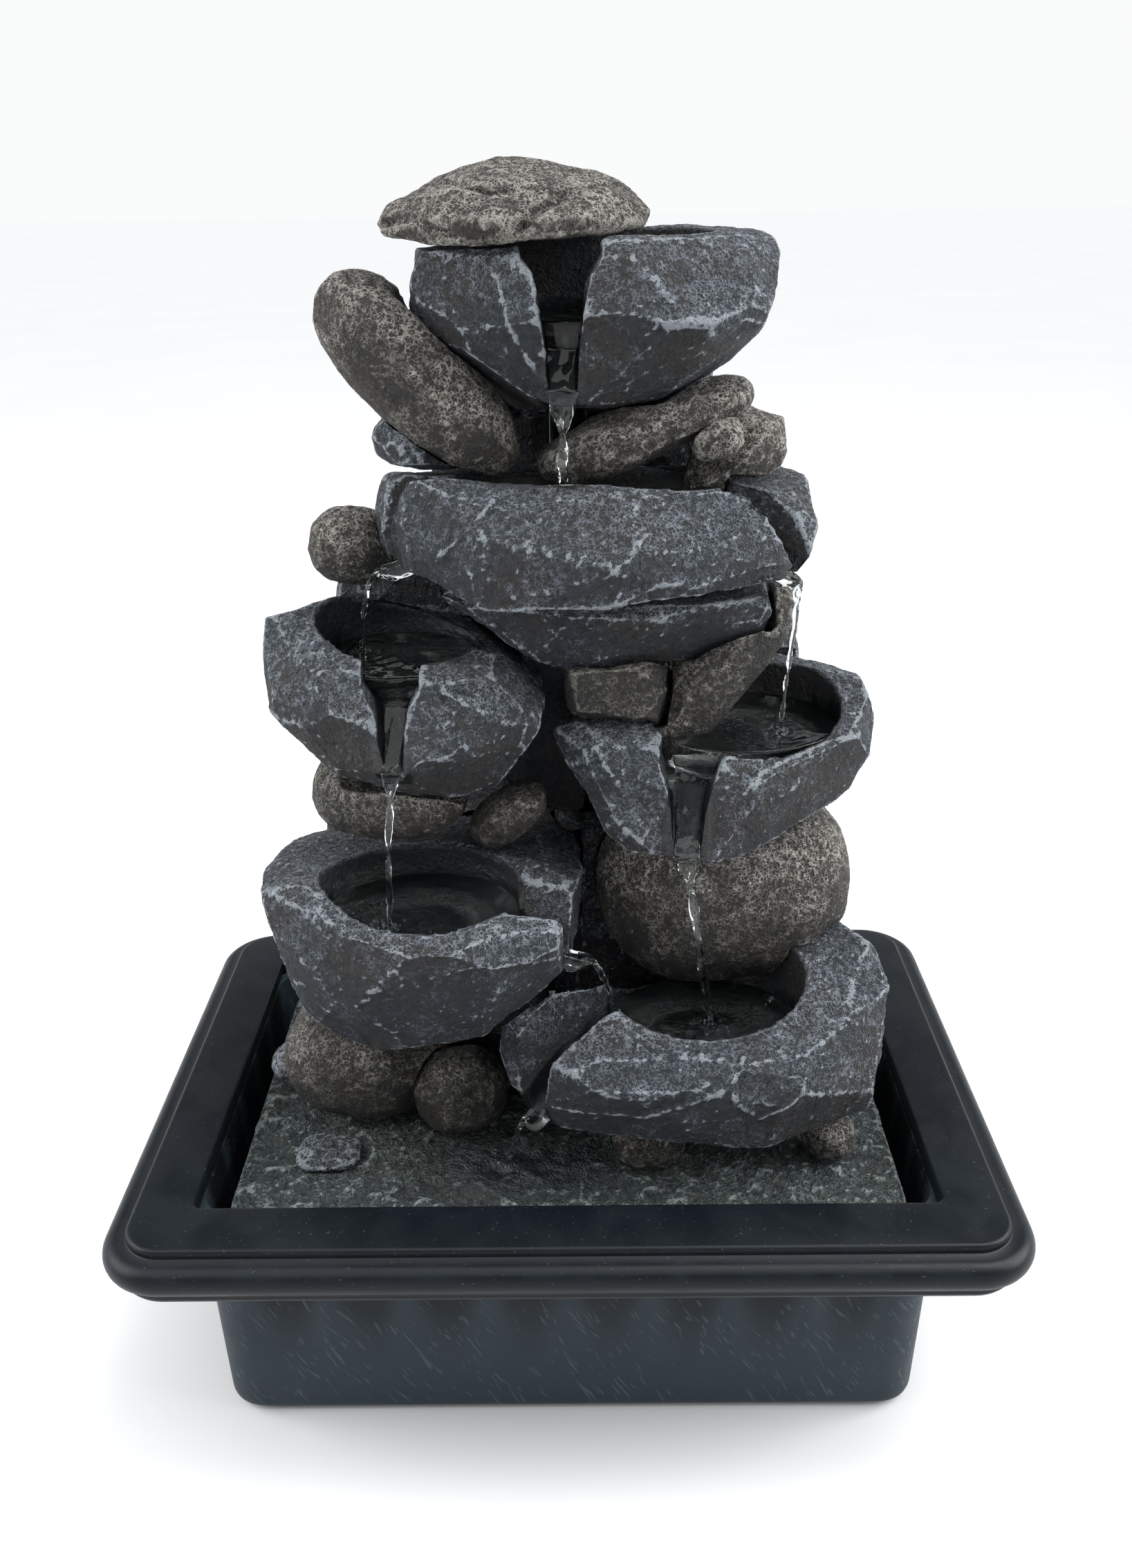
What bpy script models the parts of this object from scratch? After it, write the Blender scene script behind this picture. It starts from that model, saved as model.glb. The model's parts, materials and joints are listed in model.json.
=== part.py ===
"""Tabletop water fountain: a cascade of stone bowls over a rimmed tub with a pump inside.

The origin is on the table under the middle of the tub, +X is to the right, +Y to the back and +Z up.
Sizes and places are written in millimetres, and become metres when a mesh is made.
The stones are bonded into one cascade that lifts straight off the pump. Each stone is a hull of chosen
corners or a rounded boulder, with its basin and spouts cut out, and is cut back from the stones before it.
"""

import math
from dataclasses import dataclass

import bmesh
import bpy
from mathutils import Euler, Vector

MM = 0.001
GAP = 0.3                    # clearance between pieces that rest on or fit round each other
OVERSHOOT = 2.0              # how far a cutter runs past the face that it cuts

# Feet and tub
FOOT_HEIGHT = 1.2
FOOT_RADIUS = 6.0
FOOT_INSET = 13.0            # from the tub's outer faces to a foot's centre
TUB_LENGTH = 173.6           # outside, at the top
TUB_DEPTH = 106.0
TUB_TOP_Z = 63.2
TUB_DRAFT = 1.0              # how much narrower each side is at the bottom
TUB_CORNER = 9.0
TUB_EDGE = 1.6               # how far the bottom edge is tucked in
TUB_WALL = 1.8
TUB_FLOOR = 2.4
FLUTE_PITCH = 18.5
FLUTE_DEPTH = 0.9
FLUTE_STEPS = 3              # outline points for each flute
LEDGE_LENGTH = 10.0          # ribs inside the tub that carry the deck
LEDGE_DEPTH = 5.8
LEDGE_FROM_END = 41.8        # from the tub's end to a rib's middle

# Rim frame
RIM_OVERHANG = 18.2          # from the tub's outer face to the bead's edge
RIM_RISE = 3.7               # from the tub's top to the rim's top
RIM_HEIGHT = 13.1
RIM_COVER = 1.4              # how far the rim reaches in over the tub's wall
RIM_CORNER = 15.0
RIM_RIB = 2.2                # rib that grips the tub from outside
RIM_SHELL = 2.0
PLATE_INSET = 5.6            # from the bead's edge to the flat plate's edge
STEP_DROP = 2.0              # from the plate down to the bead's top
BEAD_RADIUS = 3.6
LIP_INSET = 3.8              # from the bead's edge to the lower lip
MIN_CORNER = 1.5

# Deck
DECK_SLOT = 3.7              # drain gap between the deck and the tub's inner wall
DECK_THICK = 5.0
DECK_DROP = 4.0              # from the tub's top down to the deck's top
DECK_CORNER = 5.0

# Cascade: its stones are drawn on a deck of these half sizes, and scaled to the deck and height that are built
DRAWN_DECK_X = 80.3
DRAWN_DECK_Y = 46.5
DRAWN_DECK_Z = 58.0
DRAWN_HEIGHT = 224.0
DRAWN_TUBE = (2.0, 30.0)
CASCADE_HEIGHT = 224.0
HEADROOM = 30.0              # how far a basin's cutter runs above its rim

# Water tube and its chase
TUBE_X = 2.0
TUBE_FROM_BACK = 23.0        # from the tub's back face to the tube's axis
TUBE_RADIUS = 5.0
TUBE_WALL = 1.4
TUBE_STAND = 4.0             # how far the tube's end stands above the top basin's floor
CHASE_GAP = 0.6              # all round the tube

# Pump
PUMP_FLOOR_GAP = 3.6         # from the tub's floor to the pump's housing
PUMP_WIDTH = 30.0            # front to back
PUMP_HEIGHT = 26.0
MOTOR_LENGTH = 31.0
CHAMBER_LENGTH = 14.0
CHAMBER_ROOM = 1.6           # from a blade's tip to the chamber's wall
CHAMBER_WALL = 2.0
INLET_RADIUS = 4.0
COVER_LENGTH = 9.0
COVER_WALL = 1.6
INTAKE_NEAR = 5.5            # intake slots, from the pump's middle plane
INTAKE_FAR = 11.5
INTAKE_ROWS = 5
INTAKE_PITCH = 3.4
INTAKE_SLOT = 1.8
NOZZLE_FIT = 0.4             # between the nozzle and the tube's bore
NOZZLE_WALL = 1.0
NOZZLE_RISE = 16.0
NOZZLE_GRIP = 11.0           # how far the tube slips down over the nozzle
ROTOR_RADIUS = 5.2
ROTOR_ROOM = 0.6             # between the rotor and its well
ROTOR_LENGTH = 22.0
ROTOR_HUB = 3.0
BLADE_RADIUS = 8.4
BLADE_COUNT = 4
BLADE_THICK = 1.2
SHAFT_RADIUS = 1.0
SHAFT_RUNNING = 0.05         # radial clearance of the rotor on its shaft
CUP_RADIUS = 5.0
CUP_STEM = 2.6
CUP_INSET = 6.0
REGULATOR_TRAVEL = 7.0
REGULATOR_THICK = 1.6

# Cord gland in the tub's back wall
GLAND_FROM_END = 26.8        # from the tub's left end to the gland's axis
GLAND_Z = 45.0
GLAND_RADIUS = 4.0
GLAND_FLANGE = 6.0
GLAND_BORE = 2.4
GLAND_LIP = 1.4

# Values that follow from the ones above
TUB_BOTTOM_Z = FOOT_HEIGHT
TUB_FLOOR_Z = TUB_BOTTOM_Z + TUB_FLOOR
RIM_LENGTH = TUB_LENGTH + 2 * RIM_OVERHANG
RIM_DEPTH = TUB_DEPTH + 2 * RIM_OVERHANG
RIM_TOP_Z = TUB_TOP_Z + RIM_RISE
RIM_SKIRT_Z = RIM_TOP_Z - RIM_HEIGHT
OPENING_X = TUB_LENGTH / 2 - RIM_COVER
GLAND_X = GLAND_FROM_END - TUB_LENGTH / 2
DECK_X = TUB_LENGTH / 2 - TUB_WALL - TUB_DRAFT - DECK_SLOT
DECK_Y = TUB_DEPTH / 2 - TUB_WALL - TUB_DRAFT - DECK_SLOT
DECK_TOP_Z = TUB_TOP_Z - DECK_DROP
DECK_BOTTOM_Z = DECK_TOP_Z - DECK_THICK
TUBE_Y = TUB_DEPTH / 2 - TUBE_FROM_BACK
TUBE_BORE = TUBE_RADIUS - TUBE_WALL
CHASE_RADIUS = TUBE_RADIUS + CHASE_GAP
PUMP_BOTTOM_Z = TUB_FLOOR_Z + PUMP_FLOOR_GAP
PUMP_AXIS_Z = PUMP_BOTTOM_Z + PUMP_HEIGHT / 2
CHAMBER_X = TUBE_X - CHAMBER_LENGTH / 2
CHAMBER_RADIUS = BLADE_RADIUS + CHAMBER_ROOM
ROTOR_WELL = ROTOR_RADIUS + ROTOR_ROOM
COVER_X = CHAMBER_X + CHAMBER_LENGTH + GAP
MOTOR_X = CHAMBER_X - GAP - MOTOR_LENGTH
NOZZLE_RADIUS = TUBE_BORE - NOZZLE_FIT
NOZZLE_BORE = NOZZLE_RADIUS - NOZZLE_WALL
NOZZLE_TOP_Z = PUMP_BOTTOM_Z + PUMP_HEIGHT + NOZZLE_RISE
FLUTES_ALONG = round((TUB_LENGTH - 2 * TUB_CORNER) / FLUTE_PITCH)
FLUTES_ACROSS = round((TUB_DEPTH - 2 * TUB_CORNER) / FLUTE_PITCH)

STONE_GREY = (0.085, 0.095, 0.105)
STONE_BROWN = (0.13, 0.115, 0.10)
STONE_SLATE = (0.10, 0.115, 0.115)
PLASTIC_BLACK = (0.022, 0.025, 0.028)
PUMP_BLACK = (0.03, 0.03, 0.032)
RUBBER_BLACK = (0.035, 0.035, 0.035)
TUBE_CLEAR = (0.75, 0.78, 0.78)
SHAFT_WHITE = (0.85, 0.85, 0.82)
ROTOR_GREY = (0.16, 0.17, 0.18)


# ---------------------------------------------------------------- mesh helpers


def clear_scene():
    """Empty the scene of whatever was in it."""
    for item in list(bpy.data.objects):
        bpy.data.objects.remove(item, do_unlink=True)


def make_material(name, colour, roughness, metallic=0.0):
    """A Principled material of one colour."""
    material = bpy.data.materials.new(name)
    material.use_nodes = True
    shader = material.node_tree.nodes["Principled BSDF"]
    shader.inputs["Base Color"].default_value = (*colour, 1.0)
    shader.inputs["Roughness"].default_value = roughness
    shader.inputs["Metallic"].default_value = metallic
    return material


def mesh_object(name, bm, smooth_angle=0.0):
    """Turn a bmesh in millimetres into an object in metres."""
    bmesh.ops.scale(bm, vec=(MM, MM, MM), verts=bm.verts)
    bmesh.ops.recalc_face_normals(bm, faces=bm.faces)
    mesh = bpy.data.meshes.new(name)
    bm.to_mesh(mesh)
    bm.free()
    if smooth_angle:
        mesh.shade_smooth()
        mesh.set_sharp_from_angle(angle=math.radians(smooth_angle))
    item = bpy.data.objects.new(name, mesh)
    bpy.context.collection.objects.link(item)
    return item


def finish(item, material):
    """Give a finished node its material."""
    item.data.materials.clear()
    item.data.materials.append(material)
    return item


def combine(item, other, operation):
    """Apply an exact Boolean of other to item, and remove other."""
    modifier = item.modifiers.new("cut", "BOOLEAN")
    modifier.operation = operation
    modifier.solver = "EXACT"
    modifier.object = other
    graph = bpy.context.evaluated_depsgraph_get()
    mesh = bpy.data.meshes.new_from_object(item.evaluated_get(graph))
    item.modifiers.remove(modifier)
    item.data = mesh
    bpy.data.objects.remove(other, do_unlink=True)
    return item


def keep_largest(item):
    """Drop the crumbs that a cut leaves beside the main piece."""
    bm = bmesh.new()
    bm.from_mesh(item.data)
    unseen = set(bm.verts)
    groups = []
    while unseen:
        stack = [unseen.pop()]
        group = set(stack)
        while stack:
            for edge in stack.pop().link_edges:
                for vert in edge.verts:
                    if vert in unseen:
                        unseen.remove(vert)
                        group.add(vert)
                        stack.append(vert)
        groups.append(group)
    sizes = [box_volume(group) for group in groups]
    main = groups[sizes.index(max(sizes))]
    bmesh.ops.delete(bm, geom=[v for v in bm.verts if v not in main], context="VERTS")
    bm.to_mesh(item.data)
    bm.free()


def box_volume(verts):
    """Volume of the box round some vertices."""
    volume = 1.0
    for axis in range(3):
        values = [v.co[axis] for v in verts]
        volume *= max(values) - min(values)
    return volume


def loft(bm, loops, closed=False):
    """Join equal loops of points with quads, capped at both ends unless closed."""
    rings = [[bm.verts.new(point) for point in loop] for loop in loops]
    pairs = list(zip(rings, rings[1:]))
    if closed:
        pairs.append((rings[-1], rings[0]))
    else:
        bm.faces.new(rings[0])
        bm.faces.new(reversed(rings[-1]))
    count = len(rings[0])
    for low, high in pairs:
        for i in range(count):
            j = (i + 1) % count
            bm.faces.new((low[j], low[i], high[i], high[j]))


def loft_object(name, loops, closed=False, smooth_angle=0.0):
    """An object lofted through some loops."""
    bm = bmesh.new()
    loft(bm, loops, closed)
    return mesh_object(name, bm, smooth_angle)


def circle(centre, radius, axis, count=24, turn=0.0):
    """Points round a circle whose normal is the axis X, Y or Z."""
    points = []
    for i in range(count):
        angle = turn + 2 * math.pi * i / count
        a, b = radius * math.cos(angle), radius * math.sin(angle)
        offset = {"X": (0, a, b), "Y": (b, 0, a), "Z": (a, b, 0)}[axis]
        points.append(Vector(centre) + Vector(offset))
    return points


def turned(name, axis, stations, count=24, closed=False):
    """A turned piece: stations of (centre, radius) along its axis."""
    loops = [circle(centre, radius, axis, count) for centre, radius in stations]
    return loft_object(name, loops, closed, smooth_angle=40)


def box(name, low, high, bevel=0.0):
    """A box between two corners, with its edges rounded if a bevel is given."""
    bm = bmesh.new()
    bmesh.ops.create_cube(bm, size=1.0)
    centre = (Vector(low) + Vector(high)) / 2
    size = Vector(high) - Vector(low)
    for vert in bm.verts:
        vert.co = Vector(c + s * v for c, s, v in zip(centre, size, vert.co))
    if bevel:
        bmesh.ops.bevel(bm, geom=bm.edges[:], offset=bevel, segments=2, profile=0.5, affect="EDGES")
    return mesh_object(name, bm, 50 if bevel else 0.0)


def rounded_rectangle(half_x, half_y, radius, z, steps=4):
    """Points round a rectangle with arcs at its corners, anticlockwise from the right side."""
    points = []
    for corner, (sx, sy) in enumerate(((1, 1), (-1, 1), (-1, -1), (1, -1))):
        centre = (sx * (half_x - radius), sy * (half_y - radius))
        for i in range(steps + 1):
            angle = math.pi / 2 * (corner + i / steps)
            points.append((centre[0] + radius * math.cos(angle), centre[1] + radius * math.sin(angle), z))
    return points


# ---------------------------------------------------------------- tub, rim, deck and feet


def fluted_outline(half_x, half_y, z, depth):
    """The tub's outline at one height, with shallow scallops of the given depth along each side."""
    points = []
    arc_steps = 4
    spans = ((half_y, half_x, 1, 0), (half_x, half_y, 0, 1), (half_y, half_x, -1, 0), (half_x, half_y, 0, -1))
    for side, (along, across, nx, ny) in enumerate(spans):
        straight = along - TUB_CORNER
        flutes = FLUTES_ALONG if nx == 0 else FLUTES_ACROSS
        steps = flutes * FLUTE_STEPS
        for i in range(steps):
            share = i / steps
            travel = -straight + 2 * straight * share
            inset = depth * abs(math.sin(math.pi * share * flutes))
            reach = across - inset
            tx, ty = -ny, nx
            points.append((nx * reach + tx * travel, ny * reach + ty * travel, z))
        for i in range(arc_steps):
            angle = math.pi / 2 * (side + i / arc_steps)
            cx = nx * (across - TUB_CORNER) - ny * straight
            cy = ny * (across - TUB_CORNER) + nx * straight
            points.append((cx + TUB_CORNER * math.cos(angle), cy + TUB_CORNER * math.sin(angle), z))
    return points


def tub_shell():
    """The tub's outer and inner walls, from the bottom edge over the top and down to the floor."""
    top_x, top_y = TUB_LENGTH / 2, TUB_DEPTH / 2
    height = TUB_TOP_Z - TUB_BOTTOM_Z
    levels = ((0.0, TUB_EDGE, 0.0), (0.04, 0.0, 0.0), (0.25, 0.0, 0.1), (0.6, 0.0, 1.0), (0.84, 0.0, 1.0),
              (0.88, 0.0, 0.0), (1.0, 0.0, 0.0))   # share of the height, tuck inwards, share of the flutes
    loops = []
    for share, tuck, flute in levels:
        narrow = TUB_DRAFT * (1 - share) + tuck
        z = TUB_BOTTOM_Z + share * height
        loops.append(fluted_outline(top_x - narrow, top_y - narrow, z, FLUTE_DEPTH * flute))
    for z in (TUB_TOP_Z, TUB_FLOOR_Z):
        narrow = TUB_WALL + (TUB_DRAFT + FLUTE_DEPTH if z == TUB_FLOOR_Z else 0.0)
        loops.append(fluted_outline(top_x - narrow, top_y - narrow, z, 0.0))
    return loft_object("basin_tub", loops, smooth_angle=35)


def make_tub(material):
    """The tub, with the ribs that carry the deck and a hole for the cord gland."""
    tub = tub_shell()
    wall = TUB_DEPTH / 2 - TUB_DRAFT - TUB_WALL / 2
    for side in (-1, 1):
        for end in (-1, 1):
            x = end * (TUB_LENGTH / 2 - LEDGE_FROM_END)
            near, far = sorted((side * wall, side * (wall - LEDGE_DEPTH)))
            low = (x - LEDGE_LENGTH / 2, near, TUB_FLOOR_Z - OVERSHOOT)
            rib = box("rib", low, (x + LEDGE_LENGTH / 2, far, DECK_BOTTOM_Z - GAP))
            combine(tub, rib, "UNION")
    inside = TUB_DEPTH / 2 - TUB_DRAFT - TUB_WALL - FLUTE_DEPTH - OVERSHOOT
    hole = turned("hole", "Y", (((GLAND_X, inside, GLAND_Z), GLAND_RADIUS + GAP),
                                ((GLAND_X, TUB_DEPTH / 2 + OVERSHOOT, GLAND_Z), GLAND_RADIUS + GAP)))
    combine(tub, hole, "DIFFERENCE")
    return finish(tub, material)


def rim_profile(bead):
    """The rim's section, as points of reach and height, where bead is how far the round edge reaches."""
    plate = bead - PLATE_INSET
    grip = TUB_LENGTH / 2 + GAP
    profile = [(OPENING_X, RIM_TOP_Z - 0.5), (OPENING_X + 0.6, RIM_TOP_Z), (plate - 0.9, RIM_TOP_Z),
               (plate, RIM_TOP_Z - 0.9), (plate + 0.2, RIM_TOP_Z - STEP_DROP),
               (plate + 1.4, RIM_TOP_Z - STEP_DROP - 0.1)]
    for step in range(6):
        angle = math.radians(75 - 30 * step)
        profile.append((bead - BEAD_RADIUS + BEAD_RADIUS * math.cos(angle),
                        RIM_TOP_Z - STEP_DROP - BEAD_RADIUS + BEAD_RADIUS * math.sin(angle)))
    profile += [(bead - LIP_INSET + 0.8, RIM_SKIRT_Z + 3.6), (bead - LIP_INSET, RIM_SKIRT_Z),
                (bead - LIP_INSET - RIM_SHELL, RIM_SKIRT_Z), (plate - RIM_SHELL, RIM_TOP_Z - STEP_DROP - 3.0),
                (plate - RIM_SHELL, RIM_TOP_Z - 1.2 - RIM_SHELL), (grip + RIM_RIB, RIM_TOP_Z - RIM_SHELL),
                (grip + RIM_RIB, RIM_SKIRT_Z + 2.0), (grip, RIM_SKIRT_Z + 2.0), (grip, TUB_TOP_Z + GAP),
                (OPENING_X, TUB_TOP_Z + GAP)]
    return profile


def make_rim(material):
    """The moulded rim: a flat plate, a step, a round bead and a lower lip, with ribs that grip the tub."""
    bead = RIM_LENGTH / 2
    across = bead - RIM_DEPTH / 2
    loops = []
    for reach, z in rim_profile(bead):
        corner = max(MIN_CORNER, RIM_CORNER + reach - bead)
        loops.append(rounded_rectangle(reach, reach - across, corner, z))
    return finish(loft_object("rim_frame", loops, closed=True, smooth_angle=35), material)


def make_feet(material):
    """Four rubber feet under the tub's corners."""
    for across, front in ((-1, "front"), (1, "back")):
        for along, side in ((-1, "left"), (1, "right")):
            x = along * (TUB_LENGTH / 2 - TUB_DRAFT - FOOT_INSET)
            y = across * (TUB_DEPTH / 2 - TUB_DRAFT - FOOT_INSET)
            stations = (((x, y, 0), FOOT_RADIUS - 0.3), ((x, y, 0.3), FOOT_RADIUS),
                        ((x, y, FOOT_HEIGHT - GAP), FOOT_RADIUS))
            finish(turned(f"foot_{front}_{side}", "Z", stations), material)


def make_gland(material):
    """The rubber gland that leads the pump's cord out through the tub's back wall."""
    outer = TUB_DEPTH / 2 + GAP
    inner = TUB_DEPTH / 2 - TUB_WALL - TUB_DRAFT - FLUTE_DEPTH - GAP

    def at(y):
        return (GLAND_X, y, GLAND_Z)

    stations = ((at(inner - GLAND_LIP), GLAND_BORE), (at(inner - GLAND_LIP), GLAND_FLANGE),
                (at(inner), GLAND_FLANGE), (at(inner), GLAND_RADIUS), (at(outer), GLAND_RADIUS),
                (at(outer), GLAND_FLANGE), (at(outer + GLAND_LIP), GLAND_FLANGE - 0.8),
                (at(outer + GLAND_LIP), GLAND_BORE))
    finish(turned("cord_gland", "Y", stations, closed=True), material)


def make_deck(material):
    """The slate deck that the stones stand on, with a hole for the tube."""
    corner = DECK_CORNER
    loops = [rounded_rectangle(DECK_X - 0.8, DECK_Y - 0.8, corner, DECK_BOTTOM_Z),
             rounded_rectangle(DECK_X, DECK_Y, corner, DECK_BOTTOM_Z + 1.0),
             rounded_rectangle(DECK_X, DECK_Y, corner, DECK_TOP_Z - 0.8),
             rounded_rectangle(DECK_X - 0.8, DECK_Y - 0.8, corner, DECK_TOP_Z)]
    deck = loft_object("deck_plate", loops, smooth_angle=35)
    combine(deck, chase_cutter(), "DIFFERENCE")
    return finish(deck, material)


# ---------------------------------------------------------------- stones


@dataclass(frozen=True)
class Basin:
    """A bowl's round-bottomed hollow, open upwards."""

    centre: tuple
    radii: tuple
    floor: float
    rim: float
    turn: float = 0.0


@dataclass(frozen=True)
class Spout:
    """A notch from a basin to a stone's face: stations of x, y and floor height, and half widths."""

    stations: tuple
    widths: tuple


@dataclass(frozen=True)
class Hull:
    """A chiselled stone: the hull of its corners, less its basins and spouts."""

    name: str
    finish: str
    corners: tuple
    basins: tuple = ()
    spouts: tuple = ()


@dataclass(frozen=True)
class Boulder:
    """A water-worn stone: an ellipsoid, turned, tapered along its length and squared a little."""

    name: str
    finish: str
    centre: tuple
    radii: tuple
    turn: tuple = (0.0, 0.0, 0.0)
    taper: float = 0.0
    square: float = 0.85
    fine: bool = True


def place(x, y, z):
    """A drawn point of the cascade at the size and height that the cascade is built to."""
    return Vector((TUBE_X + (x - DRAWN_TUBE[0]) * DECK_X / DRAWN_DECK_X,
                   TUBE_Y + (y - DRAWN_TUBE[1]) * DECK_Y / DRAWN_DECK_Y,
                   DECK_TOP_Z + (z - DRAWN_DECK_Z) * CASCADE_HEIGHT / DRAWN_HEIGHT))


def hull_body(stone, grow):
    """The stone's convex hull, grown outwards by a clearance."""
    bm = bmesh.new()
    for corner in stone.corners:
        point = place(*corner)
        shifts = [Vector((a, b, c)) for a in (-grow, grow) for b in (-grow, grow) for c in (-grow, grow)]
        for shift in shifts if grow else [Vector()]:
            bm.verts.new(point + shift)
    result = bmesh.ops.convex_hull(bm, input=bm.verts)
    bmesh.ops.delete(bm, geom=[v for v in result["geom_interior"] if v.is_valid], context="VERTS")
    bmesh.ops.delete(bm, geom=[v for v in bm.verts if not v.link_faces], context="VERTS")
    return mesh_object(stone.name, bm)


def basin_cutter(basin, grow):
    """A tapered elliptical plug with a rounded floor."""
    loops = []
    sides = 20
    section = ((0.55, basin.floor), (0.86, basin.floor + 1.6), (0.97, basin.floor + 5.0), (1.0, basin.rim),
               (1.0, basin.rim + HEADROOM))
    for share, z in section:
        loop = []
        for i in range(sides):
            angle = 2 * math.pi * i / sides
            x, y = basin.radii[0] * share * math.cos(angle), basin.radii[1] * share * math.sin(angle)
            c, s = math.cos(basin.turn), math.sin(basin.turn)
            point = place(basin.centre[0] + c * x - s * y, basin.centre[1] + s * x + c * y, z)
            middle = place(*basin.centre, z)
            inward = (middle - point).normalized() * grow
            loop.append(point + inward + Vector((0, 0, grow)))
        loops.append(loop)
    return loft_object("plug", loops)


def spout_cutter(spout, grow):
    """A notch that follows its stations, with its walls at the given half widths."""
    stations = [Vector(s) for s in spout.stations]
    loops = []
    for i, station in enumerate(stations):
        ahead = stations[min(i + 1, len(stations) - 1)] - stations[max(i - 1, 0)]
        side = Vector((-ahead.y, ahead.x, 0)).normalized()
        floor = station.z
        left, right = [], []
        for half, z in spout.widths:
            height = max(z, floor + 0.1 * (len(left) + 1)) if left else floor
            left.append(place(*(station + side * (half - grow)).xy, height + grow))
            right.append(place(*(station - side * (half - grow)).xy, height + grow))
        loops.append(left + right[::-1])
    return loft_object("notch", loops)


def boulder_body(stone, grow):
    """A rounded stone from a subdivided icosahedron."""
    bm = bmesh.new()
    bmesh.ops.create_icosphere(bm, subdivisions=3 if stone.fine else 2, radius=1.0)
    rotation = Euler([math.radians(a) for a in stone.turn]).to_matrix()
    for vert in bm.verts:
        unit = vert.co.normalized()
        shape = Vector(math.copysign(abs(v) ** stone.square, v) for v in unit)
        narrow = 1 - stone.taper * shape.x
        local = Vector((shape.x * (stone.radii[0] + grow), shape.y * (stone.radii[1] + grow) * narrow,
                        shape.z * (stone.radii[2] + grow) * narrow))
        vert.co = place(*(Vector(stone.centre) + rotation @ local))
    return mesh_object(stone.name, bm, 40)


def stone_body(stone, grow=0.0):
    """A stone by itself, or its shape grown by a clearance for cutting its neighbours."""
    if isinstance(stone, Boulder):
        return boulder_body(stone, grow)
    body = hull_body(stone, grow)
    for basin in stone.basins:
        combine(body, basin_cutter(basin, grow), "DIFFERENCE")
    for spout in stone.spouts:
        combine(body, spout_cutter(spout, grow), "DIFFERENCE")
    return body


def chase_cutter():
    """The passage that the water tube runs up, into the top basin."""
    top = place(*DRAWN_TUBE, TOP_BOWL.basins[0].rim).z - OVERSHOOT
    return turned("chase", "Z", (((TUBE_X, TUBE_Y, 0), CHASE_RADIUS), ((TUBE_X, TUBE_Y, top), CHASE_RADIUS)),
                  count=20)


def deck_cutter():
    """Everything below the deck's top, plus the clearance."""
    reach = RIM_LENGTH
    return box("ground", (-reach, -reach, -5), (reach, reach, DECK_TOP_Z + GAP))


def boxes_meet(first, second):
    """Whether the boxes of two objects overlap."""
    a = [v.co for v in first.data.vertices]
    b = [v.co for v in second.data.vertices]
    for axis in range(3):
        if max(v[axis] for v in a) < min(v[axis] for v in b):
            return False
        if max(v[axis] for v in b) < min(v[axis] for v in a):
            return False
    return True


def make_stones(stones, materials):
    """Build the stones in order, each cut back from the deck, the tube and the stones before it."""
    for index, stone in enumerate(stones):
        body = stone_body(stone)
        for cutter in [deck_cutter(), chase_cutter()] + [stone_body(other, GAP) for other in stones[:index]]:
            if boxes_meet(body, cutter):
                combine(body, cutter, "DIFFERENCE")
            else:
                bpy.data.objects.remove(cutter, do_unlink=True)
        keep_largest(body)
        body.name = stone.name
        body.data.name = stone.name
        finish(body, materials[stone.finish])


TOP_BOWL = Hull(
    "top_bowl", "grey",
    ((-33, 14, 264), (-9, 6, 263), (16, 4, 266), (36, 8, 266), (48, 20, 265), (-35, 14, 257),
     (-26, 8, 249), (-9, 4, 242),
     (-3, 8, 233), (5, 8, 233), (17, -2, 249), (35, 0, 252), (38, 2, 249), (49, 14, 251), (51, 18, 258),
     (23, 14, 233),
     (39, 20, 241), (-32, 40, 264), (45, 44, 267), (31, 47, 268), (-30, 44, 240), (40, 45, 240),
     (-10, 42, 226), (22, 42, 226)),
    basins=(Basin((5, 26), (29, 13), 243, 262),),
    spouts=(Spout(((1, -8, 233.5), (1, 8, 235.5), (1, 20, 248), (1, 26, 248)),
                  ((3.2, 0), (4.2, 250), (5.0, 257), (6.0, 260), (8.4, 263), (8.4, 290))),))
MIDDLE_BOWL = Hull(
    "middle_bowl", "grey",
    ((-30, 4, 219), (-16, 0, 219), (-1, -2, 219), (14, -4, 215), (31, -4, 214), (38, 4, 215),
     (55, 14, 216), (58, 8, 208),
     (56, 4, 197), (-38, 12, 216), (-38, 8, 208), (-42, 8, 201), (-41, 8, 199), (-32, 0, 196),
     (-26, -4, 194),
     (-16, -10, 193), (9, -12, 194), (34, -8, 199), (51, -4, 196), (-17, -3, 217), (25, -5, 214),
     (13, -14, 203),
     (-16, -8, 209), (-44, 38, 214), (58, 38, 214), (-40, 38, 196), (52, 38, 196)),
    basins=(Basin((6, 10), (33, 10), 204, 216),),
    spouts=(Spout(((-14, 10, 204), (-34, 12, 198), (-52, 13, 193)), ((2.6, 0), (3.2, 206), (3.6, 240))),
            Spout(((28, 9, 204), (42, 7, 200), (51, 3, 196), (64, -5, 192)),
                  ((2.4, 0), (2.9, 206), (3.2, 240)))))
MIDDLE_FOOT = Hull(
    "middle_bowl_foot", "grey",
    ((-30, 4, 193), (9, -6, 191), (48, 2, 192), (49, 4, 185), (20, -4, 188), (-8, 2, 178), (-2, 4, 175),
     (9, 4, 173),
     (30, 6, 177), (47, 10, 177), (-30, 38, 192), (48, 38, 192), (-16, 38, 176), (40, 38, 178)))
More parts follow.
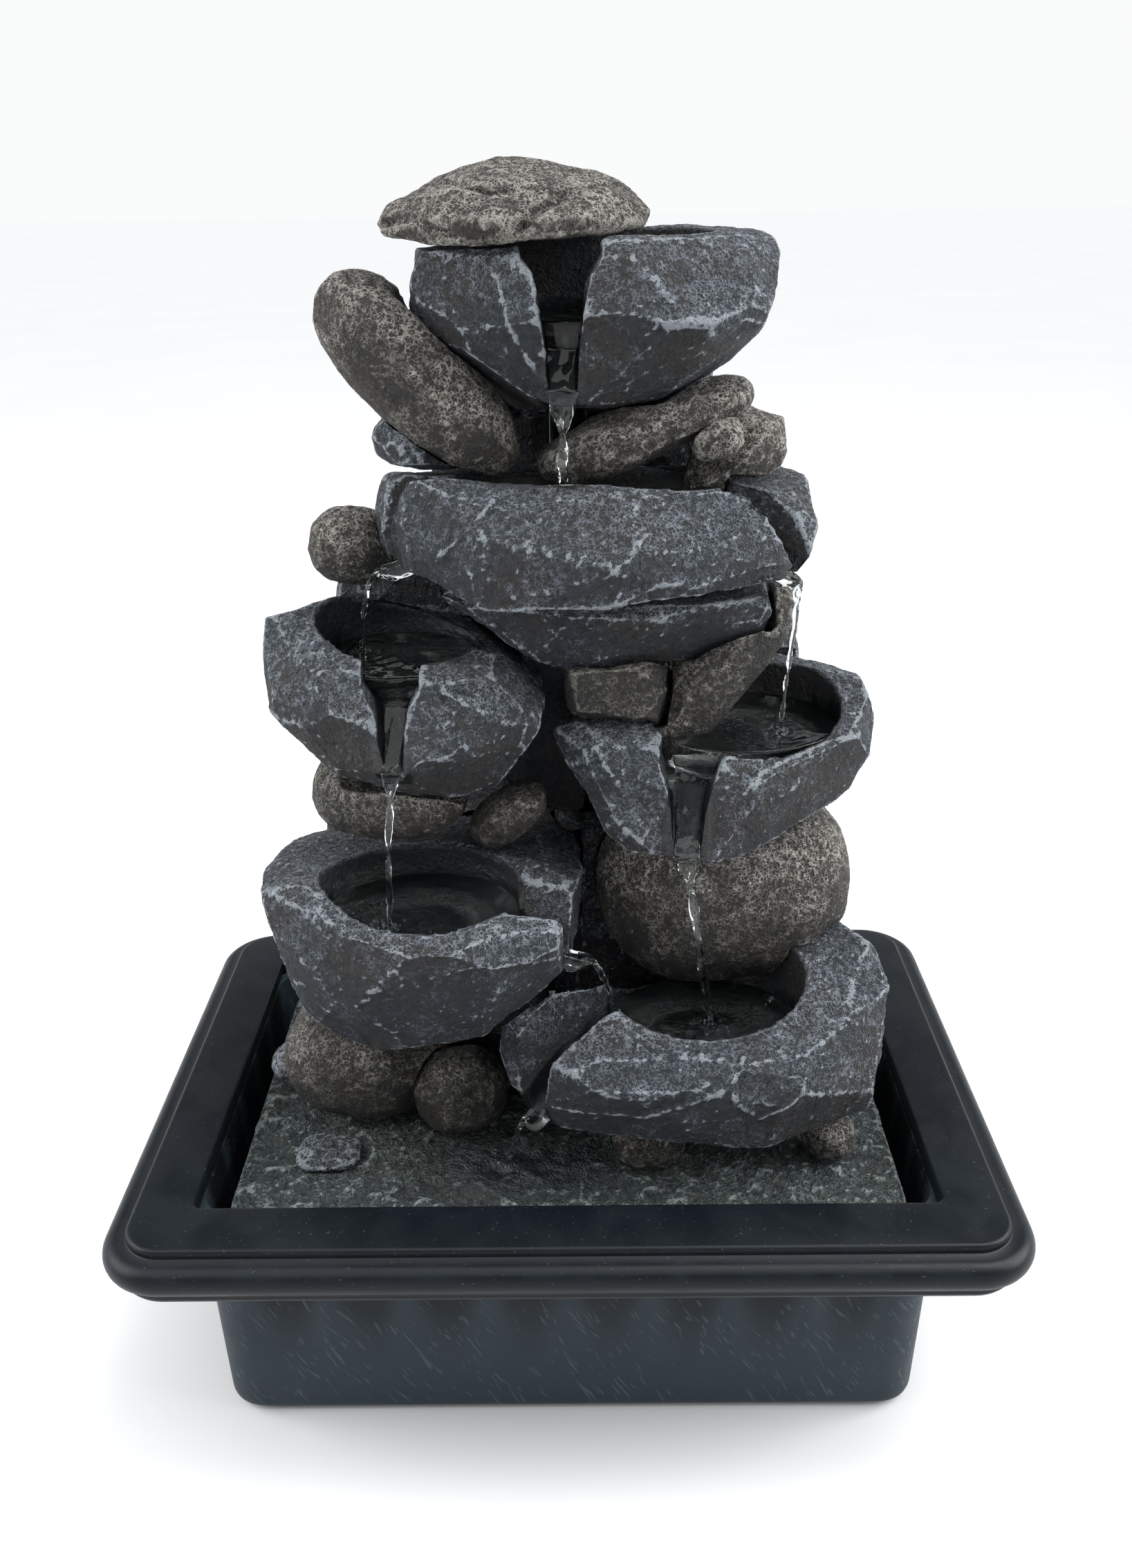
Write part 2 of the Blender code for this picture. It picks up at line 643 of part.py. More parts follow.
LEFT_UPPER_BOWL = Hull(
    "left_upper_bowl", "grey",
    ((-68, 8, 189), (-62, 14, 189), (-51, 20, 188), (-68, 4, 186), (-69, -6, 174), (-68, -6, 171),
     (-58, -10, 178),
     (-55, -14, 174), (-47, -14, 178), (-57, -8, 158), (-49, -14, 156), (-41, -20, 158), (-34, -20, 158),
     (-30, -20, 161),
     (-32, -14, 179), (-21, -14, 176), (-18, -10, 177), (-9, -10, 175), (-1, -6, 176), (0, -8, 172),
     (-7, -10, 162),
     (-18, 0, 179), (-19, -2, 143), (-50, -8, 150), (-66, 38, 182), (-20, 38, 176), (-56, 38, 160),
     (-10, 38, 160)),
    basins=(Basin((-38, 9), (18.5, 17), 169, 180),),
    spouts=(Spout(((-37.5, -26, 157.5), (-37.5, -18, 158.5), (-37.5, -4, 170), (-37.5, 4, 170)),
                  ((2.3, 0), (3.0, 168), (3.8, 172.5), (6.4, 177), (6.4, 200))),))
RIGHT_UPPER_BOWL = Hull(
    "right_upper_bowl", "grey",
    ((-4, -6, 161), (0, 0, 162), (18, 2, 159), (3, -10, 149), (12, -14, 150), (7, -8, 141),
     (23, -12, 159), (24, -20, 137),
     (31, -20, 135), (21, -16, 133), (33, -16, 152), (41, -18, 152), (61, -8, 157), (77, 4, 160),
     (78, 8, 164), (75, 26, 170),
     (65, 32, 169), (57, 36, 168), (42, -14, 134), (64, 0, 141), (69, 4, 143), (36, -18, 135),
     (10, 38, 164), (14, 38, 138),
     (66, 40, 150), (60, 40, 140)),
    basins=(Basin((42, 9), (24, 19), 150, 162),),
    spouts=(Spout(((28, -30, 134.5), (28, -19, 136), (29, -8, 151), (32, 2, 151)),
                  ((3.0, 0), (4.0, 146), (4.9, 152), (7.0, 157), (7.0, 185))),))
LOWER_LEFT_BOWL = Hull(
    "lower_left_bowl", "grey",
    ((-74, -18, 129), (-69, -4, 130), (-65, 6, 129), (-71, -24, 123), (-61, -28, 135), (-46, -42, 123),
     (-48, -42, 117),
     (-38, -44, 126), (-17, -42, 126), (-2, -36, 127), (5, -24, 113), (7, -12, 128), (7, -20, 114),
     (-65, -26, 108),
     (-59, -26, 94), (-42, -32, 90), (-27, -30, 93), (-19, -28, 95), (-18, -40, 112), (6, -6, 129),
     (-9, -2, 126),
     (-71, 16, 125), (-60, 38, 120), (2, 38, 126), (-60, 38, 98), (0, 38, 98)),
    basins=(Basin((-33, -18), (23, 19), 115, 126),),
    spouts=(Spout(((-20, -20, 117), (-4, -23, 115), (14, -24, 111)),
                  ((2.4, 0), (4.0, 121), (6.5, 128), (7.0, 150))),))
LOWER_RIGHT_BOWL = Hull(
    "lower_right_bowl", "grey",
    ((-20, -28, 95), (-12, -32, 75), (-8, -34, 76), (-3, -22, 104), (-13, -24, 95), (-5, -38, 83),
     (10, -46, 94),
     (37, -47, 97), (58, -42, 97), (62, -32, 101), (77, -14, 108), (78, -18, 103), (76, -24, 95),
     (74, -34, 81),
     (69, -36, 72), (58, -40, 70), (37, -42, 74), (23, -40, 76), (5, -38, 74), (51, -47, 96),
     (66, 2, 110), (58, 4, 103),
     (76, 20, 92), (70, 20, 66), (0, 10, 66), (-10, -10, 72)),
    basins=(Basin((33, -18), (24, 18.5), 85, 96),),
    spouts=(Spout(((14, -18, 88), (2, -26, 84), (-8, -35, 76), (-13, -41, 74)),
                  ((2.1, 0), (4.0, 88), (5.5, 96), (8.0, 104), (8.0, 130))),))
LONG_BOULDER = Boulder("long_boulder", "brown", (-30.5, 18, 238), (28, 13, 11.2), (0, 45, -8), taper=0.12)
SLAB_BOULDER = Boulder("slab_boulder", "brown", (19, 19, 226), (26, 13, 6.5), (0, -20, 4), taper=0.0)
CAP_STONE = Hull(
    "cap_stone", "brown",
    ((-38, 22, 269), (-36, 24, 273), (-30, 27, 275), (-25, 28, 278), (-19, 28, 280), (-11, 28, 282),
     (-3, 28, 281.5),
     (2, 28, 280.5), (10, 28, 279), (16, 28, 275.6), (20, 26, 272), (21, 22, 270), (-37, 17, 266.5),
     (-27, 10, 265.4),
     (-17, 6, 265.6), (-9, 4.5, 266.2), (-1, 5.5, 266.6), (12, 12, 267.6), (19, 18, 268), (-30, 10, 269.5),
     (-22, 6, 270.5), (-13, 4, 270), (-2, 5, 270.5), (9, 10, 270.5), (-24, 12, 275.5), (-12, 13, 277.5),
     (2, 14, 276.5),
     (11, 17, 275), (-34, 34, 268), (-30, 40, 266), (14, 40, 267), (18, 33, 269), (-26, 37, 274),
     (-10, 40, 275),
     (8, 38, 275), (-10, 43, 268), (-28, 30, 265.4), (14, 30, 266.4)))
ROUND_STONE_LEFT = Boulder("round_stone_left", "brown", (-49.5, 25, 198.8), (10.5, 9, 9.6), fine=False)
UPPER_LEFT_ROCK = Boulder("upper_left_rock", "grey", (-28, 22, 224), (15, 13, 7.0), (0, 4, 0), square=0.7,
                          fine=False)
UPPER_RIGHT_ROCK = Hull(
    "upper_right_rock", "brown",
    ((38, 26, 231), (52, 22, 227), (52, 18, 222), (50, 16, 218), (40, 12, 213), (24, 12, 211.5),
     (28, 10, 215),
     (42, 11, 222), (47, 14, 224.5), (52, 34, 226), (34, 36, 232), (30, 36, 213), (52, 32, 214)))
UPPER_RIGHT_PEBBLE = Boulder("upper_right_pebble", "brown", (34.6, 10.5, 225.4), (6.4, 5.5, 4.9), (0, -18, 0),
                             fine=False)
CENTRE_BLOCK = Hull("centre_block", "brown",
                    ((2, 0, 176), (25, -2, 177), (23, -4, 163), (4, -2, 161), (0, 10, 158),
                     (26, 10, 158), (0, 20, 176), (26, 20, 176)))
DIAGONAL_BOULDER = Boulder("diagonal_boulder", "brown", (35, 10, 171), (27, 10, 8.5), (0, -48, 10), taper=0.0)
LEFT_MIDDLE_BOULDER = Boulder("left_middle_boulder", "brown", (-41, 4, 145), (19, 17, 10.5), (0, 3, 0))
SMALL_DIAGONAL_STONE = Boulder("small_diagonal_stone", "brown", (-13, 0, 140), (11, 9, 6.0), (0, -32, 0),
                               fine=False)
BIG_RIGHT_BOULDER = Boulder("big_right_boulder", "brown", (39.5, 8, 116.5), (31.5, 22, 24.5), (0, -8, 0),
                            square=0.8)
LOWER_LEFT_BOULDER = Boulder("lower_left_boulder", "brown", (-52, -2, 73), (21, 20, 14.5), (0, 4, 0))
LOWER_LEFT_PEBBLE = Boulder("lower_left_pebble", "brown", (-27, -14, 69), (12, 10, 10.5), (0, -8, 0))
EDGE_PEBBLE = Boulder("edge_pebble", "grey", (-73, 4, 64), (6, 6, 5.0), fine=False)
FRONT_PEBBLE = Boulder("front_pebble", "brown", (20, -27, 65), (9.6, 8.5, 7.4), fine=False)
RIGHT_PEBBLE = Boulder("right_pebble", "brown", (64, -26, 64), (7.0, 6.5, 6.4), fine=False)
FLAT_STONE = Boulder("flat_stone", "grey", (-59, -26, 58.4), (8.5, 7.0, 2.6), square=0.6, fine=False)
BACK_UPPER = Hull("back_upper_stone", "grey",
                  ((-34, 41, 200), (40, 41, 198), (-28, 50, 206), (34, 51, 204), (-30, 49, 236),
                   (36, 50, 240), (-18, 49, 258),
                   (26, 50, 260), (-24, 38, 256), (30, 38, 258), (2, 52, 222)))
BACK_MIDDLE_LEFT = Hull("back_middle_left_stone", "grey",
                        ((-62, 32, 132), (-2, 34, 130), (-60, 47, 136), (-4, 51, 134), (-58, 46, 184),
                         (-46, 47, 196),
                         (-4, 50, 200), (-2, 36, 200), (-54, 34, 190), (-34, 52, 160)))
BACK_MIDDLE_RIGHT = Hull("back_middle_right_stone", "grey",
                         ((-1, 34, 128), (66, 32, 126), (0, 51, 132), (62, 47, 130), (64, 46, 158),
                          (52, 47, 194),
                          (-1, 50, 198), (-1, 36, 200), (54, 34, 196), (36, 52, 156)))
BACK_LOWER_LEFT = Hull(
    "back_lower_left_stone", "grey",
    ((-68, 10, 56), (-4, 6, 56), (-64, 42, 56), (-4, 43, 56), (-66, 12, 126), (-6, 8, 128),
     (-60, 44, 126), (-6, 48, 130),
     (-70, 26, 90), (-42, 48, 98), (-60, -6, 96), (-10, -10, 100)))
BACK_LOWER_RIGHT = Hull(
    "back_lower_right_stone", "grey",
    ((-3, 6, 56), (70, 12, 56), (-3, 43, 56), (66, 41, 56), (-4, 8, 128), (64, 12, 128), (-4, 48, 130),
     (60, 44, 126),
     (72, 28, 88), (38, 48, 96)))

STONES = (TOP_BOWL, MIDDLE_BOWL, MIDDLE_FOOT, LEFT_UPPER_BOWL, RIGHT_UPPER_BOWL, LOWER_LEFT_BOWL,
          LOWER_RIGHT_BOWL, CAP_STONE, LONG_BOULDER, SLAB_BOULDER, UPPER_RIGHT_PEBBLE, ROUND_STONE_LEFT,
          UPPER_LEFT_ROCK, UPPER_RIGHT_ROCK, CENTRE_BLOCK, DIAGONAL_BOULDER, LEFT_MIDDLE_BOULDER,
          SMALL_DIAGONAL_STONE, BIG_RIGHT_BOULDER, LOWER_LEFT_PEBBLE, LOWER_LEFT_BOULDER, FRONT_PEBBLE,
          RIGHT_PEBBLE, FLAT_STONE, EDGE_PEBBLE, BACK_UPPER, BACK_MIDDLE_LEFT, BACK_MIDDLE_RIGHT,
          BACK_LOWER_LEFT, BACK_LOWER_RIGHT)


# ---------------------------------------------------------------- tube and pump


def make_tube(material):
    """The clear tube that slips over the pump's nozzle and ends in the top basin."""
    low = NOZZLE_TOP_Z - NOZZLE_GRIP
    high = place(*DRAWN_TUBE, TOP_BOWL.basins[0].floor).z + TUBE_STAND

    def at(z):
        return (TUBE_X, TUBE_Y, z)

    stations = ((at(low), TUBE_BORE), (at(low), TUBE_RADIUS), (at(high), TUBE_RADIUS), (at(high), TUBE_BORE))
    finish(turned("water_tube", "Z", stations, closed=True), material)


def pump_block(name, x, length, bevel):
    """One of the pump's blocks, as wide and as tall as the pump, from x along its length."""
    low = (x, TUBE_Y - PUMP_WIDTH / 2, PUMP_BOTTOM_Z)
    return box(name, low, (x + length, TUBE_Y + PUMP_WIDTH / 2, PUMP_BOTTOM_Z + PUMP_HEIGHT), bevel)


def on_axis(x):
    """A point on the rotor's axis."""
    return (x, TUBE_Y, PUMP_AXIS_Z)


def make_motor(material):
    """The sealed motor block, with the well that the rotor turns in."""
    block = pump_block("pump_motor", MOTOR_X, MOTOR_LENGTH, 2.5)
    end = MOTOR_X + MOTOR_LENGTH
    well = turned("well", "X", ((on_axis(end - ROTOR_LENGTH - 3), ROTOR_WELL),
                                (on_axis(end + OVERSHOOT), ROTOR_WELL)))
    finish(combine(block, well, "DIFFERENCE"), material)


def make_chamber(material):
    """The pump chamber: a round cavity with a nozzle above it and an inlet in its outer wall."""
    body = pump_block("pump_chamber", CHAMBER_X, CHAMBER_LENGTH, 1.5)
    top = PUMP_BOTTOM_Z + PUMP_HEIGHT
    end = CHAMBER_X + CHAMBER_LENGTH

    def up(z):
        return (TUBE_X, TUBE_Y, z)

    nozzle = turned("nozzle", "Z", ((up(top - 4), NOZZLE_RADIUS), (up(NOZZLE_TOP_Z - 1), NOZZLE_RADIUS),
                                    (up(NOZZLE_TOP_Z), NOZZLE_RADIUS - 0.5)))
    combine(body, nozzle, "UNION")
    cavity = turned("cavity", "X", ((on_axis(CHAMBER_X - OVERSHOOT), CHAMBER_RADIUS),
                                    (on_axis(end - CHAMBER_WALL), CHAMBER_RADIUS)), count=28)
    inlet = turned("inlet", "X", ((on_axis(end - CHAMBER_WALL - 2), INLET_RADIUS),
                                  (on_axis(end + OVERSHOOT), INLET_RADIUS)))
    duct = turned("duct", "Z", ((up(PUMP_AXIS_Z), NOZZLE_BORE), (up(NOZZLE_TOP_Z + OVERSHOOT), NOZZLE_BORE)))
    for cutter in (cavity, inlet, duct):
        combine(body, cutter, "DIFFERENCE")
    finish(body, material)


def make_cover(material):
    """The strainer cover: a thin cap with intake slots in its outer face."""
    y0, y1 = TUBE_Y - PUMP_WIDTH / 2, TUBE_Y + PUMP_WIDTH / 2
    cover = pump_block("pump_cover", COVER_X, COVER_LENGTH, 1.2)
    end = COVER_X + COVER_LENGTH
    hollow = box("hollow", (COVER_X - OVERSHOOT, y0 + COVER_WALL, PUMP_BOTTOM_Z + COVER_WALL),
                 (end - COVER_WALL, y1 - COVER_WALL, PUMP_BOTTOM_Z + PUMP_HEIGHT - COVER_WALL))
    combine(cover, hollow, "DIFFERENCE")
    for side in (-1, 1):
        near, far = sorted((TUBE_Y + side * INTAKE_NEAR, TUBE_Y + side * INTAKE_FAR))
        for row in range(INTAKE_ROWS):
            z = PUMP_AXIS_Z + (row - (INTAKE_ROWS - 1) / 2) * INTAKE_PITCH
            low = (end - COVER_WALL - OVERSHOOT, near, z - INTAKE_SLOT / 2)
            slot = box("slot", low, (end + OVERSHOOT, far, z + INTAKE_SLOT / 2))
            combine(cover, slot, "DIFFERENCE")
    finish(cover, material)


def make_regulator(material):
    """The slide that sets the flow by covering more or fewer of the intake slots."""
    x = COVER_X + COVER_LENGTH + GAP
    low = PUMP_AXIS_Z - REGULATOR_TRAVEL
    half = INTAKE_NEAR - 1.0
    plate = box("flow_regulator", (x, TUBE_Y - half, low), (x + REGULATOR_THICK, TUBE_Y + half, low + 8), 0.4)
    knob = box("knob", (x + 0.5, TUBE_Y - 2.5, low + 3), (x + REGULATOR_THICK + 1.6, TUBE_Y + 2.5, low + 5))
    finish(combine(plate, knob, "UNION"), material)


def rotor_blade(turn, tip):
    """One flat blade of the rotor, standing out from the hub at an angle."""
    out = Vector((0, math.cos(turn), math.sin(turn)))
    wide = Vector((0, -math.sin(turn), math.cos(turn))) * BLADE_THICK / 2
    root = CHAMBER_X + 1.5
    loops = []
    for reach in (ROTOR_HUB / 2, BLADE_RADIUS):
        base = Vector(on_axis(0)) + out * reach
        sections = ((root, -1), (tip, -1), (tip, 1), (root, 1))
        loops.append([Vector((x, (base + s * wide).y, (base + s * wide).z)) for x, s in sections])
    return loft_object("blade", loops)


def make_rotor(rotor_material, shaft_material):
    """The magnet rotor with its blades, and the ceramic shaft that it turns on."""
    end = MOTOR_X + MOTOR_LENGTH
    tail = end - ROTOR_LENGTH - 1.5
    nose = CHAMBER_X + CHAMBER_LENGTH - CHAMBER_WALL - 2
    rotor = turned("impeller", "X", ((on_axis(tail), ROTOR_RADIUS), (on_axis(end - 1), ROTOR_RADIUS),
                                     (on_axis(end - 1), ROTOR_HUB), (on_axis(nose), ROTOR_HUB)))
    for blade in range(BLADE_COUNT):
        combine(rotor, rotor_blade(2 * math.pi * blade / BLADE_COUNT, nose - 0.6), "UNION")
    bore_radius = SHAFT_RADIUS + SHAFT_RUNNING
    bore = turned("bore", "X", ((on_axis(tail - OVERSHOOT), bore_radius),
                                (on_axis(nose + OVERSHOOT), bore_radius)), count=16)
    finish(combine(rotor, bore, "DIFFERENCE"), rotor_material)
    shaft = turned("rotor_shaft", "X", ((on_axis(tail - 1.2), SHAFT_RADIUS),
                                        (on_axis(nose + 1.6), SHAFT_RADIUS)), count=16)
    finish(shaft, shaft_material)


def make_cups(material):
    """Four suction cups under the motor block and the chamber."""
    xs = (MOTOR_X + CUP_INSET, CHAMBER_X - GAP - CUP_INSET)
    ys = (TUBE_Y - PUMP_WIDTH / 2 + CUP_INSET, TUBE_Y + PUMP_WIDTH / 2 - CUP_INSET)
    for x, side in zip(xs, ("left", "right")):
        for y, front in zip(ys, ("front", "back")):
            low = TUB_FLOOR_Z + GAP
            stations = (((x, y, low), CUP_RADIUS), ((x, y, low + 0.7), CUP_RADIUS),
                        ((x, y, low + 1.8), CUP_STEM), ((x, y, PUMP_BOTTOM_Z - GAP), CUP_STEM))
            finish(turned(f"suction_cup_{front}_{side}", "Z", stations, count=20), material)


def main():
    """Build every piece of the fountain."""
    clear_scene()
    black = make_material("satin_black_plastic", PLASTIC_BLACK, 0.42)
    pump = make_material("pump_plastic", PUMP_BLACK, 0.5)
    rubber = make_material("rubber", RUBBER_BLACK, 0.85)
    stones = {"grey": make_material("grey_stone", STONE_GREY, 0.72),
              "brown": make_material("brown_stone", STONE_BROWN, 0.75)}
    make_feet(rubber)
    make_tub(black)
    make_rim(black)
    make_gland(rubber)
    make_deck(make_material("slate_deck", STONE_SLATE, 0.7))
    make_stones(STONES, stones)
    make_tube(make_material("clear_tube", TUBE_CLEAR, 0.15))
    make_motor(pump)
    make_chamber(pump)
    make_cover(pump)
    make_regulator(make_material("regulator_grey", ROTOR_GREY, 0.5))
    make_rotor(make_material("rotor", ROTOR_GREY, 0.4), make_material("ceramic", SHAFT_WHITE, 0.2))
    make_cups(rubber)


main()
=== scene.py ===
"""Tabletop water fountain: painted stones, black tub and rim, running water and the pump below.

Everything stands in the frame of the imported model: +X to the right, +Y to the back, +Z up, and the origin on the
table under the middle of the tub. Sizes are written in millimetres and become metres when a mesh is made.
"""

import json
import logging
import math
from dataclasses import dataclass
from enum import Enum

import bmesh
import bpy
import numpy as np
from mathutils import Euler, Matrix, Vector

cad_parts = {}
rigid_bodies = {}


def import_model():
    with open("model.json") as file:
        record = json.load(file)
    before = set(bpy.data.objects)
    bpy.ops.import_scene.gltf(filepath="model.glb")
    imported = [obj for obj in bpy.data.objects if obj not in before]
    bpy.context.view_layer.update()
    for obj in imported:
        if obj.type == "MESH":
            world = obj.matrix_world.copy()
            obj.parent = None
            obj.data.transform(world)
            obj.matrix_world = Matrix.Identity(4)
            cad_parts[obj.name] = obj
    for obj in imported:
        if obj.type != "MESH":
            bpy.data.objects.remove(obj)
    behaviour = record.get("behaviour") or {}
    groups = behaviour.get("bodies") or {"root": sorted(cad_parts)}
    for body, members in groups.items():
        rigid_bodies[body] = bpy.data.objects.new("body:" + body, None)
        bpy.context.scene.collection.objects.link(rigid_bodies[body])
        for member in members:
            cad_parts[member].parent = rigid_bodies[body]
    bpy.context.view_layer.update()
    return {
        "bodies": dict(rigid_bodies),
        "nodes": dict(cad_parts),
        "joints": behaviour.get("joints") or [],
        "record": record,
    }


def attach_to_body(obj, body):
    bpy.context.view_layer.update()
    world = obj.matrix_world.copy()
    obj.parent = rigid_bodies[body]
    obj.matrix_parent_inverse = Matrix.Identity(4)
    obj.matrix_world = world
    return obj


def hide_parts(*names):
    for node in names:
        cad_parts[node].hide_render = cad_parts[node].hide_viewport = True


MM = 0.001
STONE_SKIN = 0.7             # mm, edge of a stone's faces
CREASE_HEIGHT = 0.55         # mm, where two broken faces meet
CREASE_WIDTH = 0.9
WATER_SKIN = 0.42            # mm, edge of the water's faces
WET_PAINT = "#080e11"        # painted resin under a film of water
SETTLED_DUST = "#7d868b"
SCRATCHED_ABS = "#5d6870"
WORN_ABS = "#141b20"
FLUTE_CREST = "#2b353c"      # where the light catches between two flutes
log = logging.getLogger("fountain")

Point = tuple[float, float, float]
Surface = tuple[np.ndarray, list]            # points and faces
Item = bpy.types.Object
Material = bpy.types.Material
Tree = bpy.types.NodeTree
Socket = bpy.types.NodeSocket


class Body(str, Enum):
    """The bodies that a piece can ride on."""

    BASE = "base"
    CASCADE = "cascade"
    STRAINER = "strainer"
    REGULATOR = "regulator"
    ROTOR = "rotor"


class Slot(str, Enum):
    """The record's material slots."""

    TUB = "tub_plastic"
    RIM = "rim_plastic"
    RUBBER = "rubber"
    DECK = "deck_stone"
    GREY = "grey_stone"
    BROWN = "brown_stone"
    TUBE = "clear_tube"
    PUMP = "pump_plastic"
    REGULATOR = "regulator_plastic"
    ROTOR = "rotor"
    CERAMIC = "ceramic"
    WATER = "water"


class Kind(str, Enum):
    """The kinds of node that the materials and the trees use most."""

    ATTRIBUTE = "ShaderNodeAttribute"
    BUMP = "ShaderNodeBump"
    CELLS = "ShaderNodeTexVoronoi"
    COORDINATES = "ShaderNodeTexCoord"
    INPUT = "NodeGroupInput"
    MAPPING = "ShaderNodeMapping"
    MATH = "ShaderNodeMath"
    MIX = "ShaderNodeMix"
    NOISE = "ShaderNodeTexNoise"
    OUTPUT = "NodeGroupOutput"
    RANGE = "ShaderNodeMapRange"
    REALIZE = "GeometryNodeRealizeInstances"
    SEPARATE = "ShaderNodeSeparateXYZ"
    SET_MATERIAL = "GeometryNodeSetMaterial"
    SET_POSITION = "GeometryNodeSetPosition"
    SET_SMOOTH = "GeometryNodeSetShadeSmooth"
    VECTOR = "ShaderNodeVectorMath"


# Settings that many nodes share
TIMES = {"operation": "MULTIPLY"}
PLUS = {"operation": "ADD"}
MINUS = {"operation": "SUBTRACT"}
SCALED = {"operation": "SCALE"}
SMOOTH = {"interpolation_type": "SMOOTHSTEP"}
COLOUR = {"data_type": "RGBA", "out": 2}


# ---------------------------------------------------------------- helpers


def linear(colour: str) -> tuple[float, float, float, float]:
    """Turn an sRGB hex colour into a linear one.

    Args:
        colour: Six hex digits after a hash sign.

    Returns:
        Linear red, green, blue and an alpha of one.
    """
    channels = [int(colour[i:i + 2], 16) / 255 for i in (1, 3, 5)]
    return (*(c / 12.92 if c <= 0.04045 else ((c + 0.055) / 1.055) ** 2.4 for c in channels), 1.0)


def add_node(tree: Tree, kind: str, inputs: dict | tuple = (), out: int | str = 0, **settings) -> Socket:
    """Add a node, set it up and link it.

    Args:
        tree: The node tree that gets the node.
        kind: The node's type name.
        inputs: Numbers, hex colours or sockets for its inputs, in order or by input name or number.
        out: Which of its outputs is wanted.
        settings: Properties of the node.

    Returns:
        The wanted output, or None from a node that has none.
    """
    node = tree.nodes.new(kind)
    for name, value in settings.items():
        setattr(node, name, value)
    for key, value in inputs.items() if isinstance(inputs, dict) else enumerate(inputs):
        if isinstance(value, Socket):
            tree.links.new(value, node.inputs[key])
        else:
            hexed = isinstance(value, str) and value.startswith("#")
            node.inputs[key].default_value = linear(value) if hexed else value
    return node.outputs[out] if node.outputs else None


def mesh_object(name: str, points: np.ndarray | list, faces: list, smooth: bool = True) -> Item:
    """Make an object from points in millimetres.

    Args:
        name: The object's name.
        points: Vertex positions in millimetres.
        faces: Vertex numbers of each face.
        smooth: Whether it is shaded smooth.

    Returns:
        The linked object, with its faces pointing out.
    """
    mesh = bpy.data.meshes.new(name)
    mesh.from_pydata((np.asarray(points, float) * MM).tolist(), [], faces)
    bm = bmesh.new()
    bm.from_mesh(mesh)
    bmesh.ops.remove_doubles(bm, verts=bm.verts, dist=1e-6)
    bmesh.ops.recalc_face_normals(bm, faces=bm.faces)
    bm.to_mesh(mesh)
    bm.free()
    if smooth:
        mesh.shade_smooth()
    item = bpy.data.objects.new(name, mesh)
    bpy.context.scene.collection.objects.link(item)
    return item


def loft(loops: list, closed: bool = False) -> Surface:
    """Join equal loops of points with quads.

    Args:
        loops: Loops with the same number of points.
        closed: Whether the last loop joins the first, and otherwise both ends are capped.

    Returns:
        The points and the faces.
    """
    points = np.concatenate([np.asarray(loop, float) for loop in loops])
    count, rows = len(loops[0]), len(loops)
    faces = []
    for row in range(rows if closed else rows - 1):
        low, high = row * count, (row + 1) % rows * count
        for i in range(count):
            j = (i + 1) % count
            faces.append((low + i, low + j, high + j, high + i))
    if not closed:
        faces.append(tuple(range(count))[::-1])
        faces.append(tuple((rows - 1) * count + i for i in range(count)))
    return points, faces


def positions(item: Item) -> np.ndarray:
    """The object's vertex positions, in millimetres."""
    co = np.zeros(len(item.data.vertices) * 3)
    item.data.vertices.foreach_get("co", co)
    return co.reshape(-1, 3) / MM


def set_positions(item: Item, co: np.ndarray) -> None:
    """Give the object's vertices new positions, in millimetres."""
    item.data.vertices.foreach_set("co", (co * MM).ravel())
    item.data.update()


def set_attribute(item: Item, name: str, values: np.ndarray) -> None:
    """Store one number for each vertex."""
    attribute = item.data.attributes.new(name, "FLOAT", "POINT")
    attribute.data.foreach_set("value", values.astype(np.float32))


def freeze(item: Item) -> Item:
    """Replace the object's mesh by what its modifiers make of it, and remove them."""
    graph = bpy.context.evaluated_depsgraph_get()
    mesh = bpy.data.meshes.new_from_object(item.evaluated_get(graph))
    item.modifiers.clear()
    item.data = mesh
    mesh.name = item.name
    return item


def solid_copy(node: Item, name: str) -> Item:
    """Copy a solid's mesh and merge its loose triangles.

    Args:
        node: The solid's object.
        name: The copy's name.

    Returns:
        A new object with a closed mesh.
    """
    bm = bmesh.new()
    bm.from_mesh(node.data)
    bmesh.ops.remove_doubles(bm, verts=bm.verts, dist=1e-5)
    mesh = bpy.data.meshes.new(name)
    bm.to_mesh(mesh)
    bm.free()
    item = bpy.data.objects.new(name, mesh)
    bpy.context.scene.collection.objects.link(item)
    return item


def remesh(item: Item, size: float, passes: int) -> None:
    """Turn a mesh into one closed skin.

    Args:
        item: The object, whose parts may overlap.
        size: Edge length of the new faces in millimetres.
        passes: How many times the skin is smoothed.
    """
    skin = item.modifiers.new("remesh", "REMESH")
    skin.mode = "VOXEL"
    skin.voxel_size = size * MM
    soften = item.modifiers.new("soften", "SMOOTH")
    soften.iterations = passes
    freeze(item)


def dress(item: Item, material: Material) -> None:
    """Give an object one material and nothing else."""
    item.data.materials.clear()
    item.data.materials.append(material)


def add_hull(item: Item, corners: tuple[Point, ...]) -> None:
    """Add the convex hull of some corners, in millimetres, to an object's mesh."""
    bm = bmesh.new()
    bm.from_mesh(item.data)
    hull = [bm.verts.new(Vector(corner) * MM) for corner in corners]
    bmesh.ops.convex_hull(bm, input=hull)
    bmesh.ops.delete(bm, geom=[v for v in bm.verts if not v.link_faces], context="VERTS")
    bm.to_mesh(item.data)
    bm.free()


def attach(item: Item, body: Body, slot: Slot, *nodes: str) -> None:
    """Give a finished piece its body, and hide the solids that it stands for.

    Args:
        item: The finished piece.
        body: The body that it rides on.
        slot: Not used.
        nodes: The solids that it replaces.
    """
    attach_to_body(item, body.value)
    if nodes:
        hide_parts(*nodes)
    log.info("%s: %d faces on %s", item.name, len(item.data.polygons), body.value)


# ---------------------------------------------------------------- finishes


